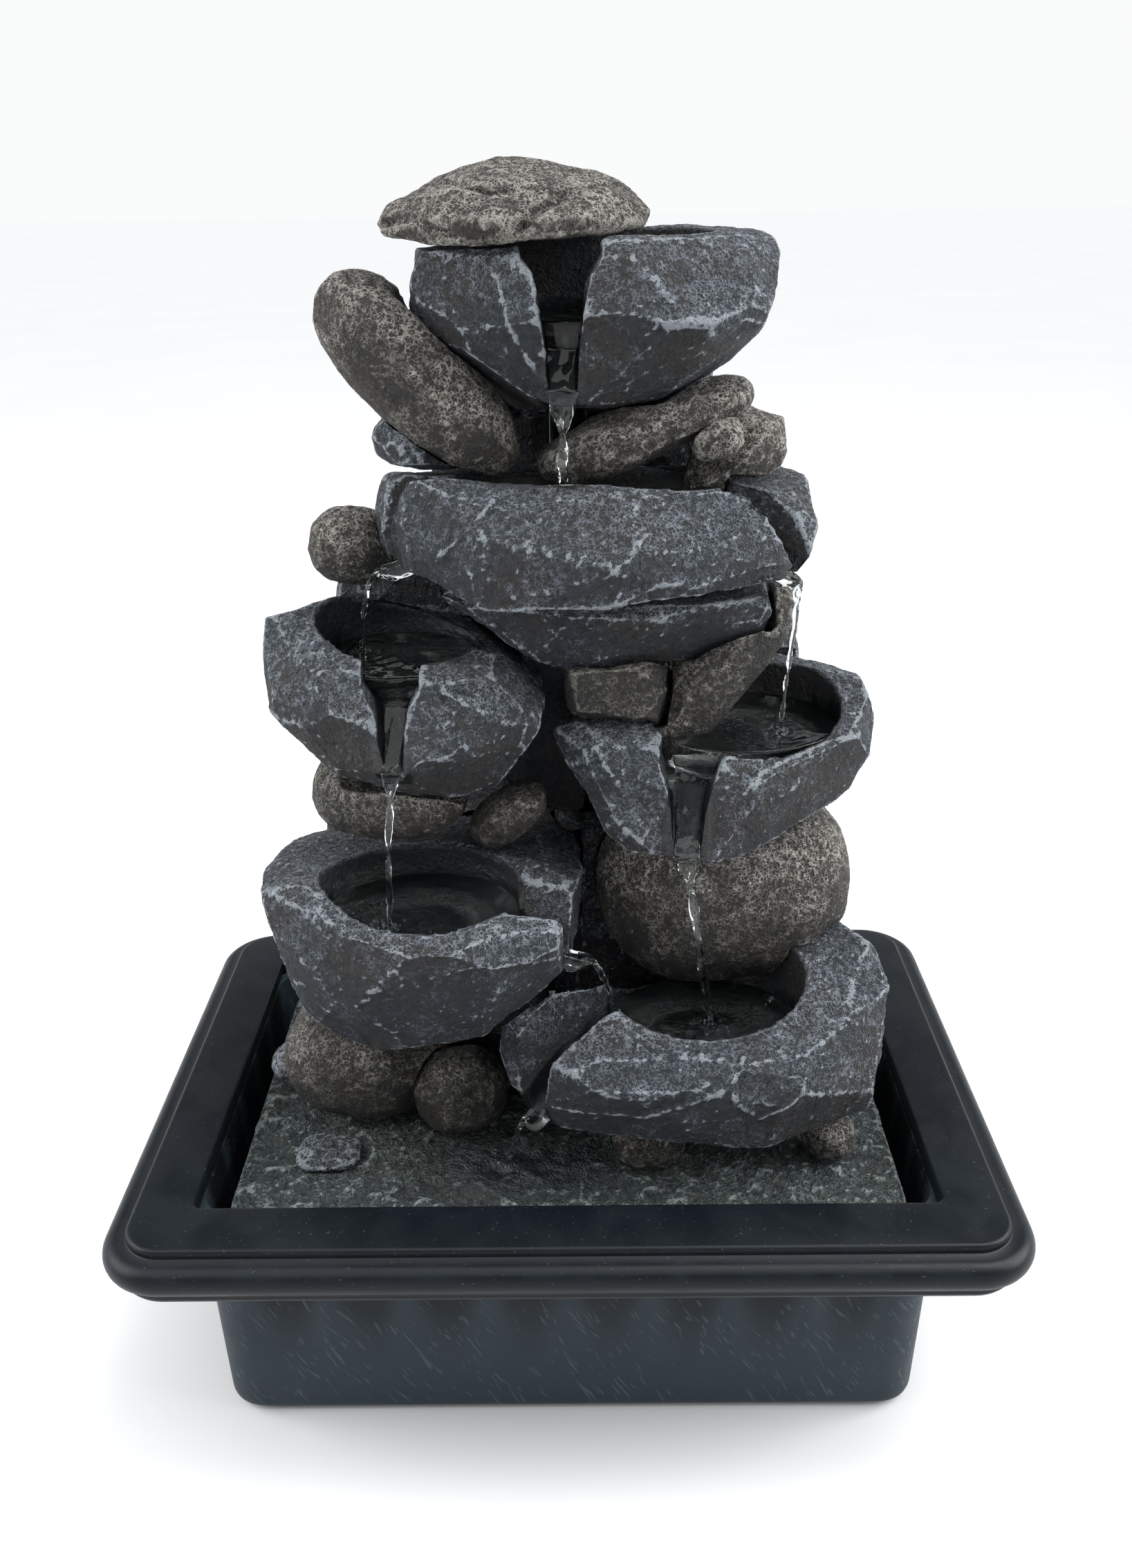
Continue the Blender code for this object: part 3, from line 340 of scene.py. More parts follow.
def new_material(name: str) -> tuple[Material, Tree, bpy.types.Node]:
    """Start a material and return it with its tree and its shader."""
    material = bpy.data.materials.new(name)
    material.use_nodes = True
    tree = material.node_tree
    return material, tree, tree.nodes["Principled BSDF"]


def millimetres(tree: Tree, turn: Point = (0, 0, 0), stretch: Point = (1, 1, 1)) -> Socket:
    """Object coordinates in millimetres, turned and stretched by a Mapping node.

    Args:
        tree: The node tree.
        turn: Rotation in degrees.
        stretch: Scale along each axis.

    Returns:
        The coordinates.
    """
    coords = add_node(tree, Kind.COORDINATES, out="Object")
    scale = tuple(s / MM for s in stretch)
    inputs = {"Vector": coords, "Rotation": tuple(math.radians(a) for a in turn), "Scale": scale}
    return add_node(tree, Kind.MAPPING, inputs, out="Vector")


def sized(vector: Socket, size: float, detail: float = 3.0, distortion: float = 0.0, roughness: float = 0.55) -> dict:
    """The inputs of a noise whose features are the given size in millimetres.

    Args:
        vector: Coordinates in millimetres.
        size: Size of its features.
        detail: Octaves.
        distortion: How far it is bent.
        roughness: Weight of the finer octaves.

    Returns:
        The inputs by name.
    """
    return {"Vector": vector, "Scale": 1 / size, "Detail": detail, "Distortion": distortion, "Roughness": roughness}


@dataclass(frozen=True)
class PaintedStone:
    """Cast polyresin with a pitted stone texture, painted dark and dry-brushed with a pale colour.

    The dry brush touches what stands out: broken edges, the thin walls between pits and the relief's tops, and reaches
    further on faces that look up; on the relief's tops and the upward faces it is partly painted highlight. Hollows
    and creases get a darker colour, which is painted shade. Water makes them darker still, and glossy.
    """

    name: str
    base: str
    patch: str            # second colour, in soft patches
    crevice_shade: str
    # painted shade: the darker colour of hollows and creases
    brushed: str
    tips: str             # the palest strokes, on the sharpest crests
    pit_size: float       # mm
    walls: float          # dry brush on the walls between pits
    specks: float         # dry brush on fine grain
    edge: float           # dry brush along broken edges
    even: float           # least share of the walls that the brush reached
    halo: float           # extra dry brush in a band beside the edges
    bump: float           # mm
    dry: float = 0.75     # roughness
    wet: float = 0.2

    def build(self) -> Material:
        """Make the material."""
        material, tree, shader = new_material(self.name)
        vector = millimetres(tree)
        crest, edge, wet = (add_node(tree, Kind.ATTRIBUTE, attribute_name=name, out="Fac")
                            for name in ("crest", "edge", "wet"))
        coarse = self.crackle(tree, vector, self.pit_size, 2.4)
        small = self.crackle(tree, vector, self.pit_size * 0.55, 1.2)
        walls = add_node(tree, Kind.MATH, (coarse, small), operation="MAXIMUM")
        fine = add_node(tree, Kind.NOISE, sized(vector, 0.42, 2.0))
        relief = add_node(tree, Kind.NOISE, sized(vector, self.pit_size * 0.9, 4.0, 0.9, 0.62))
        cloud = add_node(tree, Kind.NOISE, sized(vector, 24, 2.0, 0.5))
        patches = add_node(tree, Kind.RANGE, (cloud, 0.4, 0.64), **SMOOTH)
        colour = add_node(tree, Kind.MIX, {0: patches, 6: self.base, 7: self.patch}, **COLOUR)
        # Painted shade: the relief's hollows and the creases that sink below their surroundings take the crevice
        # colour.
        hollow = add_node(tree, Kind.RANGE, (relief, 0.52, 0.34, 0.0, 0.75), **SMOOTH)
        colour = add_node(tree, Kind.MIX, {0: hollow, 6: colour, 7: self.crevice_shade}, **COLOUR)
        sunken = add_node(tree, Kind.MATH, (crest, -1.0), **TIMES)
        low = add_node(tree, Kind.RANGE, (sunken, 0.25, 1.3, 0.0, 0.8), **SMOOTH)
        colour = add_node(tree, Kind.MIX, {0: low, 6: colour, 7: self.crevice_shade}, **COLOUR)
        stroke = self.stroke(tree, vector, crest, edge, walls, fine, relief)
        drying = add_node(tree, Kind.RANGE, (wet, 0.0, 0.7, 1.0, 0.12), **SMOOTH)
        stroke = add_node(tree, Kind.MATH, (stroke, drying), **TIMES)
        light = add_node(tree, Kind.RANGE, (stroke, 0.22, 0.62, 0.0, 0.9), **SMOOTH)
        colour = add_node(tree, Kind.MIX, {0: light, 6: colour, 7: self.brushed}, **COLOUR)
        heavy = add_node(tree, Kind.RANGE, (stroke, 0.62, 1.15, 0.0, 0.95), **SMOOTH)
        colour = add_node(tree, Kind.MIX, {0: heavy, 6: colour, 7: self.tips}, **COLOUR)
        soaked = add_node(tree, Kind.MATH, (wet, 0.84), **TIMES)
        colour = add_node(tree, Kind.MIX, {0: soaked, 6: colour, 7: WET_PAINT}, **COLOUR)
        tree.links.new(colour, shader.inputs["Base Color"])
        shine = add_node(tree, Kind.MATH, (wet, self.wet - self.dry), **TIMES)
        roughness = add_node(tree, Kind.MATH, (self.dry, shine), **PLUS)
        tree.links.new(roughness, shader.inputs["Roughness"])
        height = 0.0
        for pattern, share in ((walls, 0.35), (fine, 0.3), (relief, 2.0)):
            part = add_node(tree, Kind.MATH, (pattern, share), **TIMES)
            height = add_node(tree, Kind.MATH, (height, part), **PLUS)
        strength = add_node(tree, Kind.RANGE, (wet, 0.0, 1.0, 1.0, 0.3), **SMOOTH)
        bump = add_node(tree, Kind.BUMP, {"Height": height, "Strength": strength, "Distance": self.bump * MM})
        tree.links.new(bump, shader.inputs["Normal"])
        return material

    def crackle(self, tree: Tree, vector: Socket, size: float, bend: float) -> Socket:
        """Thin broken walls between pits of the given size, one on a wall's top.

        Args:
            tree: The material's node tree.
            vector: Coordinates in millimetres.
            size: Size of a pit.
            bend: How crooked the walls are, as a share of a pit.

        Returns:
            The walls, from zero in a pit to one.
        """
        warp = add_node(tree, Kind.NOISE, {"Vector": vector, "Scale": 1 / (size * 1.3), "Detail": 3.0}, out="Color")
        shift = add_node(tree, Kind.VECTOR, (warp, (0.5, 0.5, 0.5)), **MINUS)
        shift = add_node(tree, Kind.VECTOR, {0: shift, "Scale": size * bend}, **SCALED)
        bent = add_node(tree, Kind.VECTOR, (vector, shift))
        cells = add_node(tree, Kind.CELLS, {"Vector": bent, "Scale": 1 / size},
                         feature="DISTANCE_TO_EDGE", out="Distance")
        breaks = add_node(tree, Kind.NOISE, sized(vector, size * 1.5, 2.0))
        gaps = add_node(tree, Kind.RANGE, (breaks, 0.4, 0.6, 0.2, 1.0), **SMOOTH)
        tops = add_node(tree, Kind.RANGE, (cells, 0.02, 0.17, 1.0, 0.0), **SMOOTH)
        return add_node(tree, Kind.MATH, (tops, gaps), **TIMES)

    def stroke(self, tree: Tree, vector: Socket, crest: Socket, edge: Socket, walls: Socket, fine: Socket,
               relief: Socket) -> Socket:
        """How much pale paint the brush left at each point, more on faces that look up and on the relief's tops, where
        it is partly painted highlight.

        Args:
            tree: The material's node tree.
            vector: Coordinates in millimetres.
            crest: How sharply the point stands out.
            edge: How near it is to a broken edge.
            walls: The walls between pits.
            fine: Fine grain.
            relief: The rough relief.

        Returns:
            The amount of paint.
        """
        normal = add_node(tree, "ShaderNodeNewGeometry", out="Normal")
        facing = add_node(tree, Kind.SEPARATE, {0: normal}, out=2)
        patches = add_node(tree, Kind.NOISE, sized(vector, 9, 3.0, 0.4))
        coverage = add_node(tree, Kind.RANGE, (patches, 0.36, 0.66, self.even, 1.0), **SMOOTH)
        # Faces that look up get more pale paint: partly painted top light.
        above = add_node(tree, Kind.RANGE, (facing, -0.3, 0.9, -0.3, 0.35), **SMOOTH)
        beside = add_node(tree, Kind.RANGE, (edge, 0.1, 0.9, 0.0, self.halo), **SMOOTH)
        for extra in (above, beside):
            coverage = add_node(tree, Kind.MATH, (coverage, extra), **PLUS)
        texture = add_node(tree, Kind.MATH, (walls, self.walls), **TIMES)
        grit = add_node(tree, Kind.MATH, (fine, 0.45), **MINUS)
        specks = add_node(tree, Kind.MATH, (grit, self.specks), **TIMES)
        # The relief's tops get pale paint: dry brush and painted highlight.
        knobs = add_node(tree, Kind.RANGE, (relief, 0.5, 0.74, 0.0, 0.26), **SMOOTH)
        for extra in (specks, knobs):
            texture = add_node(tree, Kind.MATH, (texture, extra), **PLUS)
        texture = add_node(tree, Kind.MATH, (texture, coverage), **TIMES)
        skips = add_node(tree, Kind.NOISE, sized(vector, 1.1, 4.0))
        broken = add_node(tree, Kind.RANGE, (skips, 0.36, 0.54, 0.25, 1.0), **SMOOTH)
        sharp = add_node(tree, Kind.RANGE, (crest, 0.5, 1.25), **SMOOTH)
        edges = add_node(tree, Kind.MATH, (sharp, self.edge), **TIMES)
        edges = add_node(tree, Kind.MATH, (edges, broken), **TIMES)
        return add_node(tree, Kind.MATH, (texture, edges), **PLUS)


@dataclass(frozen=True)
class MouldedPlastic:
    """Injection-moulded ABS or rubber: one colour, a fine spark-eroded grain and, on a tub, hairline scuffs and
    painted highlight on the crests between its flutes.
    """

    name: str
    colour: str
    roughness: float
    grain_size: float = 0.35     # mm
    grain_depth: float = 0.02    # mm
    scuff: float = 0.0           # share of hairline scuffs
    dust: float = 0.0            # share of pale settled dust specks
    gloss: float = 0.5           # specular level
    ior: float = 1.53

    def build(self) -> Material:
        """Make the material."""
        material, tree, shader = new_material(self.name)
        vector = millimetres(tree)
        fine = add_node(tree, Kind.NOISE, sized(vector, self.grain_size, 3.0))
        broad = add_node(tree, Kind.NOISE, sized(vector, 14, 3.0, 0.6))
        worn = add_node(tree, Kind.RANGE, (broad, 0.35, 0.65, 0.0, 0.3), **SMOOTH)
        colour = add_node(tree, Kind.MIX, {0: worn, 6: self.colour, 7: WORN_ABS}, **COLOUR)
        height = fine
        if self.scuff:
            # Painted light and shade: the crests between the tub's flutes are lighter, the flutes' hollows keep the
            # darker colour.
            flute = add_node(tree, Kind.ATTRIBUTE, attribute_name="flute", out="Fac")
            colour = add_node(tree, Kind.MIX, {0: 0.85, 6: colour, 7: FLUTE_CREST}, **COLOUR)
            colour = add_node(tree, Kind.MIX, {0: flute, 6: colour, 7: self.colour}, **COLOUR)
            lines = self.hairlines(tree)
            scratched = add_node(tree, Kind.MATH, (lines, self.scuff), **TIMES)
            colour = add_node(tree, Kind.MIX, {0: scratched, 6: colour, 7: SCRATCHED_ABS}, **COLOUR)
            cut = add_node(tree, Kind.MATH, (lines, 1.2), **TIMES)
            height = add_node(tree, Kind.MATH, (fine, cut), **MINUS)
        if self.dust:
            grit = add_node(tree, Kind.NOISE, sized(vector, 0.7, 1.0))
            specks = add_node(tree, Kind.RANGE, (grit, 0.71, 0.78, 0.0, self.dust), **SMOOTH)
            colour = add_node(tree, Kind.MIX, {0: specks, 6: colour, 7: SETTLED_DUST}, **COLOUR)
        tree.links.new(colour, shader.inputs["Base Color"])
        shader.inputs["IOR"].default_value = self.ior
        shader.inputs["Specular IOR Level"].default_value = self.gloss
        roughness = add_node(tree, Kind.RANGE, (broad, 0.3, 0.7, self.roughness - 0.05, self.roughness + 0.06),
                             **SMOOTH)
        tree.links.new(roughness, shader.inputs["Roughness"])
        bump = add_node(tree, Kind.BUMP, {"Height": height, "Strength": 1.0, "Distance": self.grain_depth * MM})
        tree.links.new(bump, shader.inputs["Normal"])
        return material

    @staticmethod
    def hairlines(tree: Tree) -> Socket:
        """Sparse hairlines a few millimetres long that slant down to the right on every wall, as slate has."""
        total = None
        for turn, length in (((0, 58, 10), 14.0), ((0, 53, 14), 10.0), ((0, 64, 8), 18.0)):
            coords = add_node(tree, Kind.COORDINATES, out="Object")
            inputs = {"Vector": coords, "Rotation": tuple(math.radians(a) for a in turn),
                      "Scale": (length * MM, 0.8 * MM, 0.8 * MM)}
            vector = add_node(tree, Kind.MAPPING, inputs, vector_type="TEXTURE", out="Vector")
            streaks = add_node(tree, Kind.NOISE, sized(vector, 1.0, 0.0))
            line = add_node(tree, Kind.RANGE, (streaks, 0.71, 0.79), **SMOOTH)
            total = line if total is None else add_node(tree, Kind.MATH, (total, line), operation="MAXIMUM")
        patches = add_node(tree, Kind.NOISE, sized(millimetres(tree), 9, 2.0))
        shown = add_node(tree, Kind.RANGE, (patches, 0.4, 0.55), **SMOOTH)
        return add_node(tree, Kind.MATH, (total, shown), **TIMES)


@dataclass(frozen=True)
class ClearMaterial:
    """Water or soft PVC: a clear, smooth, slightly tinted body."""

    name: str
    colour: str
    ior: float
    roughness: float
    ripple: float = 0.0          # mm, height of fine ripples

    def build(self) -> Material:
        """Make the material."""
        material, tree, shader = new_material(self.name)
        vector = millimetres(tree)
        shader.inputs["Base Color"].default_value = linear(self.colour)
        shader.inputs["Transmission Weight"].default_value = 1.0
        shader.inputs["IOR"].default_value = self.ior
        cloud = add_node(tree, Kind.NOISE, sized(vector, 4, 2.0))
        roughness = add_node(tree, Kind.RANGE, (cloud, 0.3, 0.7, self.roughness, self.roughness + 0.03), **SMOOTH)
        tree.links.new(roughness, shader.inputs["Roughness"])
        if self.ripple:
            ripples = add_node(tree, Kind.NOISE, sized(vector, 3.2, 2.0, 0.6))
            bump = add_node(tree, Kind.BUMP, {"Height": ripples, "Strength": 1.0, "Distance": self.ripple * MM})
            tree.links.new(bump, shader.inputs["Normal"])
        return material


# Charcoal and slate-blue facets with a pale grey dry brush along every broken edge
GREY_STONE = PaintedStone("dry_brushed_grey_polyresin", "#2b3138", "#343130", "#101418", "#6f7781", "#a6aeb5",
                          pit_size=1.45, walls=0.66, specks=0.55, edge=1.1, even=0.6, halo=0.55, bump=1.7)
# Umber-grey boulders, brushed more evenly because they have no edges
BROWN_STONE = PaintedStone("dry_brushed_brown_polyresin", "#2d2a28", "#38332f", "#121110", "#7a766f", "#b2aea6",
                           pit_size=1.5, walls=1.1, specks=0.8, edge=0.6, even=0.5, halo=0.1, bump=1.6)
# The wet slate ground, greener and lower in contrast
DECK_STONE = PaintedStone("dry_brushed_slate_polyresin", "#323b3b", "#3a3e3d", "#181e1f", "#677271", "#929b99",
                          pit_size=2.4, walls=0.4, specks=0.6, edge=0.85, even=0.6, halo=0.4, bump=1.5, dry=0.6)
RIM_ABS = MouldedPlastic("satin_black_abs", "#0a1015", 0.4, dust=0.15, gloss=0.2)
TUB_ABS = MouldedPlastic("slate_grained_black_abs", "#0b1014", 0.5, grain_size=0.5, grain_depth=0.05, scuff=0.3,
                         gloss=0.17)
PUMP_ABS = MouldedPlastic("moulded_black_abs", "#202224", 0.5)
REGULATOR_ABS = MouldedPlastic("moulded_grey_abs", "#6a6e72", 0.45)
BLACK_RUBBER = MouldedPlastic("moulded_black_rubber", "#1c1c1d", 0.82, grain_size=0.6, grain_depth=0.04, ior=1.52)
FERRITE = MouldedPlastic("moulded_ferrite", "#4a4b4d", 0.35, ior=1.6)
CERAMIC = MouldedPlastic("polished_ceramic", "#e6e4dc", 0.15, grain_depth=0.004, ior=1.65)
WATER = ClearMaterial("running_water", "#f2f8f8", 1.333, 0.0, ripple=0.1)
# Tinted grey, darker than clear PVC: painted shade for the tube's run through the stones' dark inside.
CLEAR_PVC = ClearMaterial("clear_pvc_tube", "#6f7a7a", 1.53, 0.12)


# ---------------------------------------------------------------- stones


@dataclass(frozen=True)
class Basin:
    """A bowl's hollow and the water that stands in it, in millimetres."""

    centre: tuple[float, float]
    radii: tuple[float, float]
    floor: float
    level: float
    landing: tuple[float, float] | None = None   # where a stream falls in

    def inside(self, co: np.ndarray, margin: float) -> np.ndarray:
        """Which points are within the hollow's walls, grown by a margin."""
        x = (co[:, 0] - self.centre[0]) / (self.radii[0] + margin)
        y = (co[:, 1] - self.centre[1]) / (self.radii[1] + margin)
        return (x * x + y * y < 1) & (co[:, 2] > self.floor - margin)

    def pool(self) -> Surface:
        """The pool as a closed body of water with a rippled top, as points and faces."""
        rings, spokes = 26, 96
        depth = self.level - self.floor + 0.6
        loops = []
        for side in (1, -1):
            shares = np.linspace(0.02, 1, rings) if side == 1 else np.linspace(1, 0.02, rings)
            for share in shares:
                angle = np.linspace(0, 2 * math.pi, spokes, endpoint=False)
                taper = 1.0 if side == 1 else 0.8
                x = self.centre[0] + (self.radii[0] * 0.985 + 0.3) * share * taper * np.cos(angle)
                y = self.centre[1] + (self.radii[1] * 0.985 + 0.3) * share * taper * np.sin(angle)
                z = self.surface(x, y) if side == 1 else np.full(spokes, self.level - depth)
                loops.append(np.stack([x, y, z], 1))
        return loft(loops)

    def surface(self, x: np.ndarray, y: np.ndarray) -> np.ndarray:
        """Height of the water: slow swell, and rings round the place where a stream lands."""
        z = self.level + 0.12 * np.sin(x * 0.55 + 1.3 * np.sin(y * 0.31)) * np.cos(y * 0.47)
        if self.landing:
            reach = np.hypot(x - self.landing[0], y - self.landing[1])
            z = z + 0.42 * np.cos(reach * 2 * math.pi / 3.4) * np.exp(-reach / 6.0)
        return z


@dataclass(frozen=True)
class Groove:
    """A crease worn into a stone along a line of points on its surface."""

    points: tuple[Point, ...]
    depth: float = 1.0
    width: float = 1.2

    def press(self, co: np.ndarray, normals: np.ndarray) -> np.ndarray:
        """Push the points near the line inwards."""
        nearest = np.full(len(co), np.inf)
        for first, second in zip(self.points, self.points[1:]):
            a, b = np.array(first, float), np.array(second, float)
            along = np.clip(((co - a) @ (b - a)) / ((b - a) @ (b - a)), 0, 1)
            nearest = np.minimum(nearest, np.linalg.norm(co - a - along[:, None] * (b - a), axis=1))
        push = self.depth * np.exp(-(nearest / self.width) ** 2)
        return co - normals * push[:, None]


def ridge(*points: Point) -> Groove:
    """A raised crease where two broken faces meet."""
    return Groove(points, -CREASE_HEIGHT, CREASE_WIDTH)


@dataclass(frozen=True)
class Weathering:
    """How a stone's surface is broken or worn, in millimetres."""

    swell: float          # slow unevenness
    facet: float          # depth of the flat planes that a rock breaks into
    facet_size: float
    scallop: float        # depth of the hollows that a chisel leaves
    scallop_size: float
    pit: float            # height of the pitted texture
    pit_size: float
    wear: float           # how far edges are rounded, as a share
    chips: int = 0        # small flats broken off the corners
    chip_depth: float = 0.0


CHISELLED = Weathering(swell=0.35, facet=0.9, facet_size=15.0, scallop=0.35, scallop_size=6.0, pit=0.42,
                       pit_size=1.9, wear=0.14, chips=40, chip_depth=3.0)
BACK_BREAK = Weathering(swell=0.8, facet=2.4, facet_size=24.0, scallop=0.5, scallop_size=8.0, pit=0.42,
                        pit_size=1.9, wear=0.14, chips=34, chip_depth=4.0)
WATER_WORN = Weathering(swell=1.7, facet=0.0, facet_size=20.0, scallop=0.35, scallop_size=9.0, pit=0.34,
                        pit_size=1.9, wear=0.9, chips=7, chip_depth=1.6)
SLATE_GROUND = Weathering(swell=0.4, facet=0.7, facet_size=12.0, scallop=2.2, scallop_size=7.0, pit=0.8,
                          pit_size=3.0, wear=0.3)


class SurfaceTree:
    """The Geometry Nodes tree that breaks up a remeshed stone and records its crests and edges."""

    NUMBERS = ("Swell", "Facet", "Facet Size", "Scallop", "Scallop Size", "Pit", "Pit Size", "Wear", "Seed")

    def __init__(self) -> None:
        """Build the tree."""
        self.group = bpy.data.node_groups.new("weathered_surface", "GeometryNodeTree")
        self.sockets = {}
        face = self.group.interface
        face.new_socket("Geometry", in_out="INPUT", socket_type="NodeSocketGeometry")
        for name in self.NUMBERS:
            self.sockets[name] = face.new_socket(name, in_out="INPUT", socket_type="NodeSocketFloat").identifier
        self.sockets["Material"] = face.new_socket("Material", in_out="INPUT",
                                                   socket_type="NodeSocketMaterial").identifier
        face.new_socket("Geometry", in_out="OUTPUT", socket_type="NodeSocketGeometry")
        self.given = add_node(self.group, Kind.INPUT).node.outputs
        self.position = add_node(self.group, "GeometryNodeInputPosition")
        self.normal = add_node(self.group, "GeometryNodeInputNormal")
        geometry = self.displaced(self.given["Geometry"])
        geometry = self.recorded(geometry, "crest", 3, 0.10)
        geometry = self.recorded(geometry, "edge", 14, 0.45)
        smooth = add_node(self.group, Kind.SET_SMOOTH, {"Geometry": geometry, "Shade Smooth": True})
        real = add_node(self.group, Kind.REALIZE, {"Geometry": smooth})
        dressed = add_node(self.group, Kind.SET_MATERIAL, {"Geometry": real, "Material": self.given["Material"]})
        add_node(self.group, Kind.OUTPUT, {"Geometry": dressed})

    def noise(self, vector: Socket, size: float | Socket, detail: float = 2.0, distortion: float = 0.0) -> Socket:
        """A seeded noise, from about -1 to 1.

        Args:
            vector: Coordinates in millimetres.
            size: Size of its features in millimetres.
            detail: Octaves.
            distortion: How far it is bent.

        Returns:
            The noise.
        """
        scale = add_node(self.group, Kind.MATH, (1.0, size), operation="DIVIDE")
        inputs = {"Vector": vector, "W": self.given["Seed"], "Scale": scale, "Detail": detail,
                  "Distortion": distortion}
        value = add_node(self.group, Kind.NOISE, inputs, noise_dimensions="4D", out="Fac")
        centred = add_node(self.group, Kind.MATH, (value, 0.5), **MINUS)
        return add_node(self.group, Kind.MATH, (centred, 2.0), **TIMES)

    def blurred(self, steps: int) -> Socket:
        """The position averaged with its neighbours' a number of times."""
        return add_node(self.group, "GeometryNodeBlurAttribute", {"Value": self.position, "Iterations": steps},
                        data_type="FLOAT_VECTOR")

    def displaced(self, geometry: Socket) -> Socket:
        """Round the edges unevenly, then add swell, scallops and pits along the normal.

        Args:
            geometry: The stone's mesh.

        Returns:
            The mesh in its new place.
        """
        tree = self.group
        mm = add_node(tree, Kind.VECTOR, {0: self.position, "Scale": 1 / MM}, **SCALED)
        rounding = add_node(tree, Kind.VECTOR, (self.blurred(7), self.position), **MINUS)
        broken = add_node(tree, Kind.RANGE, (self.noise(mm, 5.0), -0.35, 0.4, 0.1, 1.0), **SMOOTH)
        wear = add_node(tree, Kind.MATH, (self.given["Wear"], broken), **TIMES)
        worn = add_node(tree, Kind.VECTOR, {0: rounding, "Scale": wear}, **SCALED)
        geometry = add_node(tree, Kind.SET_POSITION, {"Geometry": geometry, "Offset": worn})
        height = add_node(tree, Kind.MATH, (self.noise(mm, 19.0), self.given["Swell"]), **TIMES)
        warp = add_node(tree, Kind.NOISE, {"Vector": mm, "Scale": 1 / 6, "Detail": 2.0}, out="Color")
        scale = add_node(tree, Kind.MATH, (1.0, self.given["Facet Size"]), operation="DIVIDE")
        inputs = {"Vector": self.bent(mm, warp, 2.0), "Scale": scale, "W": self.given["Seed"]}
        planes = add_node(tree, Kind.CELLS, inputs, voronoi_dimensions="4D", distance="MANHATTAN", out="Distance")
        planes = add_node(tree, Kind.MATH, (0.75, planes), **MINUS)
        facet = add_node(tree, Kind.MATH, (planes, self.given["Facet"]), **TIMES)
        scale = add_node(tree, Kind.MATH, (1.0, self.given["Scallop Size"]), operation="DIVIDE")
        inputs = {"Vector": self.bent(mm, warp, 5.0), "Scale": scale}
        cells = add_node(tree, Kind.CELLS, inputs, out="Distance")
        cells = add_node(tree, Kind.MATH, (cells, 0.45), **MINUS)
        hollow = add_node(tree, Kind.MATH, (cells, self.given["Scallop"]), **TIMES)
        patch = add_node(tree, Kind.RANGE, (self.noise(mm, 12.0), -0.3, 0.35, 0.25, 1.0), **SMOOTH)
        hollow = add_node(tree, Kind.MATH, (hollow, patch), **TIMES)
        pitted = self.noise(mm, self.given["Pit Size"], 3.0, 0.5)
        pit = add_node(tree, Kind.MATH, (pitted, self.given["Pit"]), **TIMES)
        for part in (facet, hollow, pit):
            height = add_node(tree, Kind.MATH, (height, part), **PLUS)
        calm = add_node(tree, "GeometryNodeInputNamedAttribute", {"Name": "calm"}, out="Attribute")
        rough = add_node(tree, Kind.MATH, (1.0, calm), **MINUS)
        height = add_node(tree, Kind.MATH, (height, rough), **TIMES)
        length = add_node(tree, Kind.MATH, (height, MM), **TIMES)
        offset = add_node(tree, Kind.VECTOR, {0: self.normal, "Scale": length}, **SCALED)
        return add_node(tree, Kind.SET_POSITION, {"Geometry": geometry, "Offset": offset})

    def bent(self, vector: Socket, warp: Socket, reach: float) -> Socket:
        """A position shifted by a noise's colour, so that cells get crooked walls."""
        shift = add_node(self.group, Kind.VECTOR, {0: warp, "Scale": reach}, **SCALED)
        return add_node(self.group, Kind.VECTOR, (vector, shift), **PLUS)

    def recorded(self, geometry: Socket, name: str, steps: int, full: float) -> Socket:
        """Store how far each point stands out from its blurred surroundings, one at the given millimetres.

        Args:
            geometry: The stone's mesh.
            name: The attribute's name.
            steps: How wide the blur is.
            full: The height that counts as one.

        Returns:
            The mesh with its attribute.
        """
        away = add_node(self.group, Kind.VECTOR, (self.position, self.blurred(steps)), **MINUS)
        proud = add_node(self.group, Kind.VECTOR, (away, self.normal), operation="DOT_PRODUCT", out="Value")
        value = add_node(self.group, Kind.MATH, (proud, full * MM), operation="DIVIDE")
        return add_node(self.group, "GeometryNodeStoreNamedAttribute",
                        {"Geometry": geometry, "Name": name, "Value": value})

    def apply(self, item: Item, weathering: Weathering, seed: int, material: Material) -> None:
        """Run the tree on an object and keep its result as a plain mesh.

        Args:
            item: The stone.
            weathering: How it is broken or worn.
            seed: Seed of its noise.
            material: Its painted finish.
        """
        modifier = item.modifiers.new("weathered", "NODES")
        modifier.node_group = self.group
        values = (weathering.swell, weathering.facet, weathering.facet_size, weathering.scallop,
                  weathering.scallop_size, weathering.pit, weathering.pit_size, weathering.wear, float(seed))
        for name, value in zip(self.NUMBERS, values):
            modifier[self.sockets[name]] = value
        modifier[self.sockets["Material"]] = material
        freeze(item)


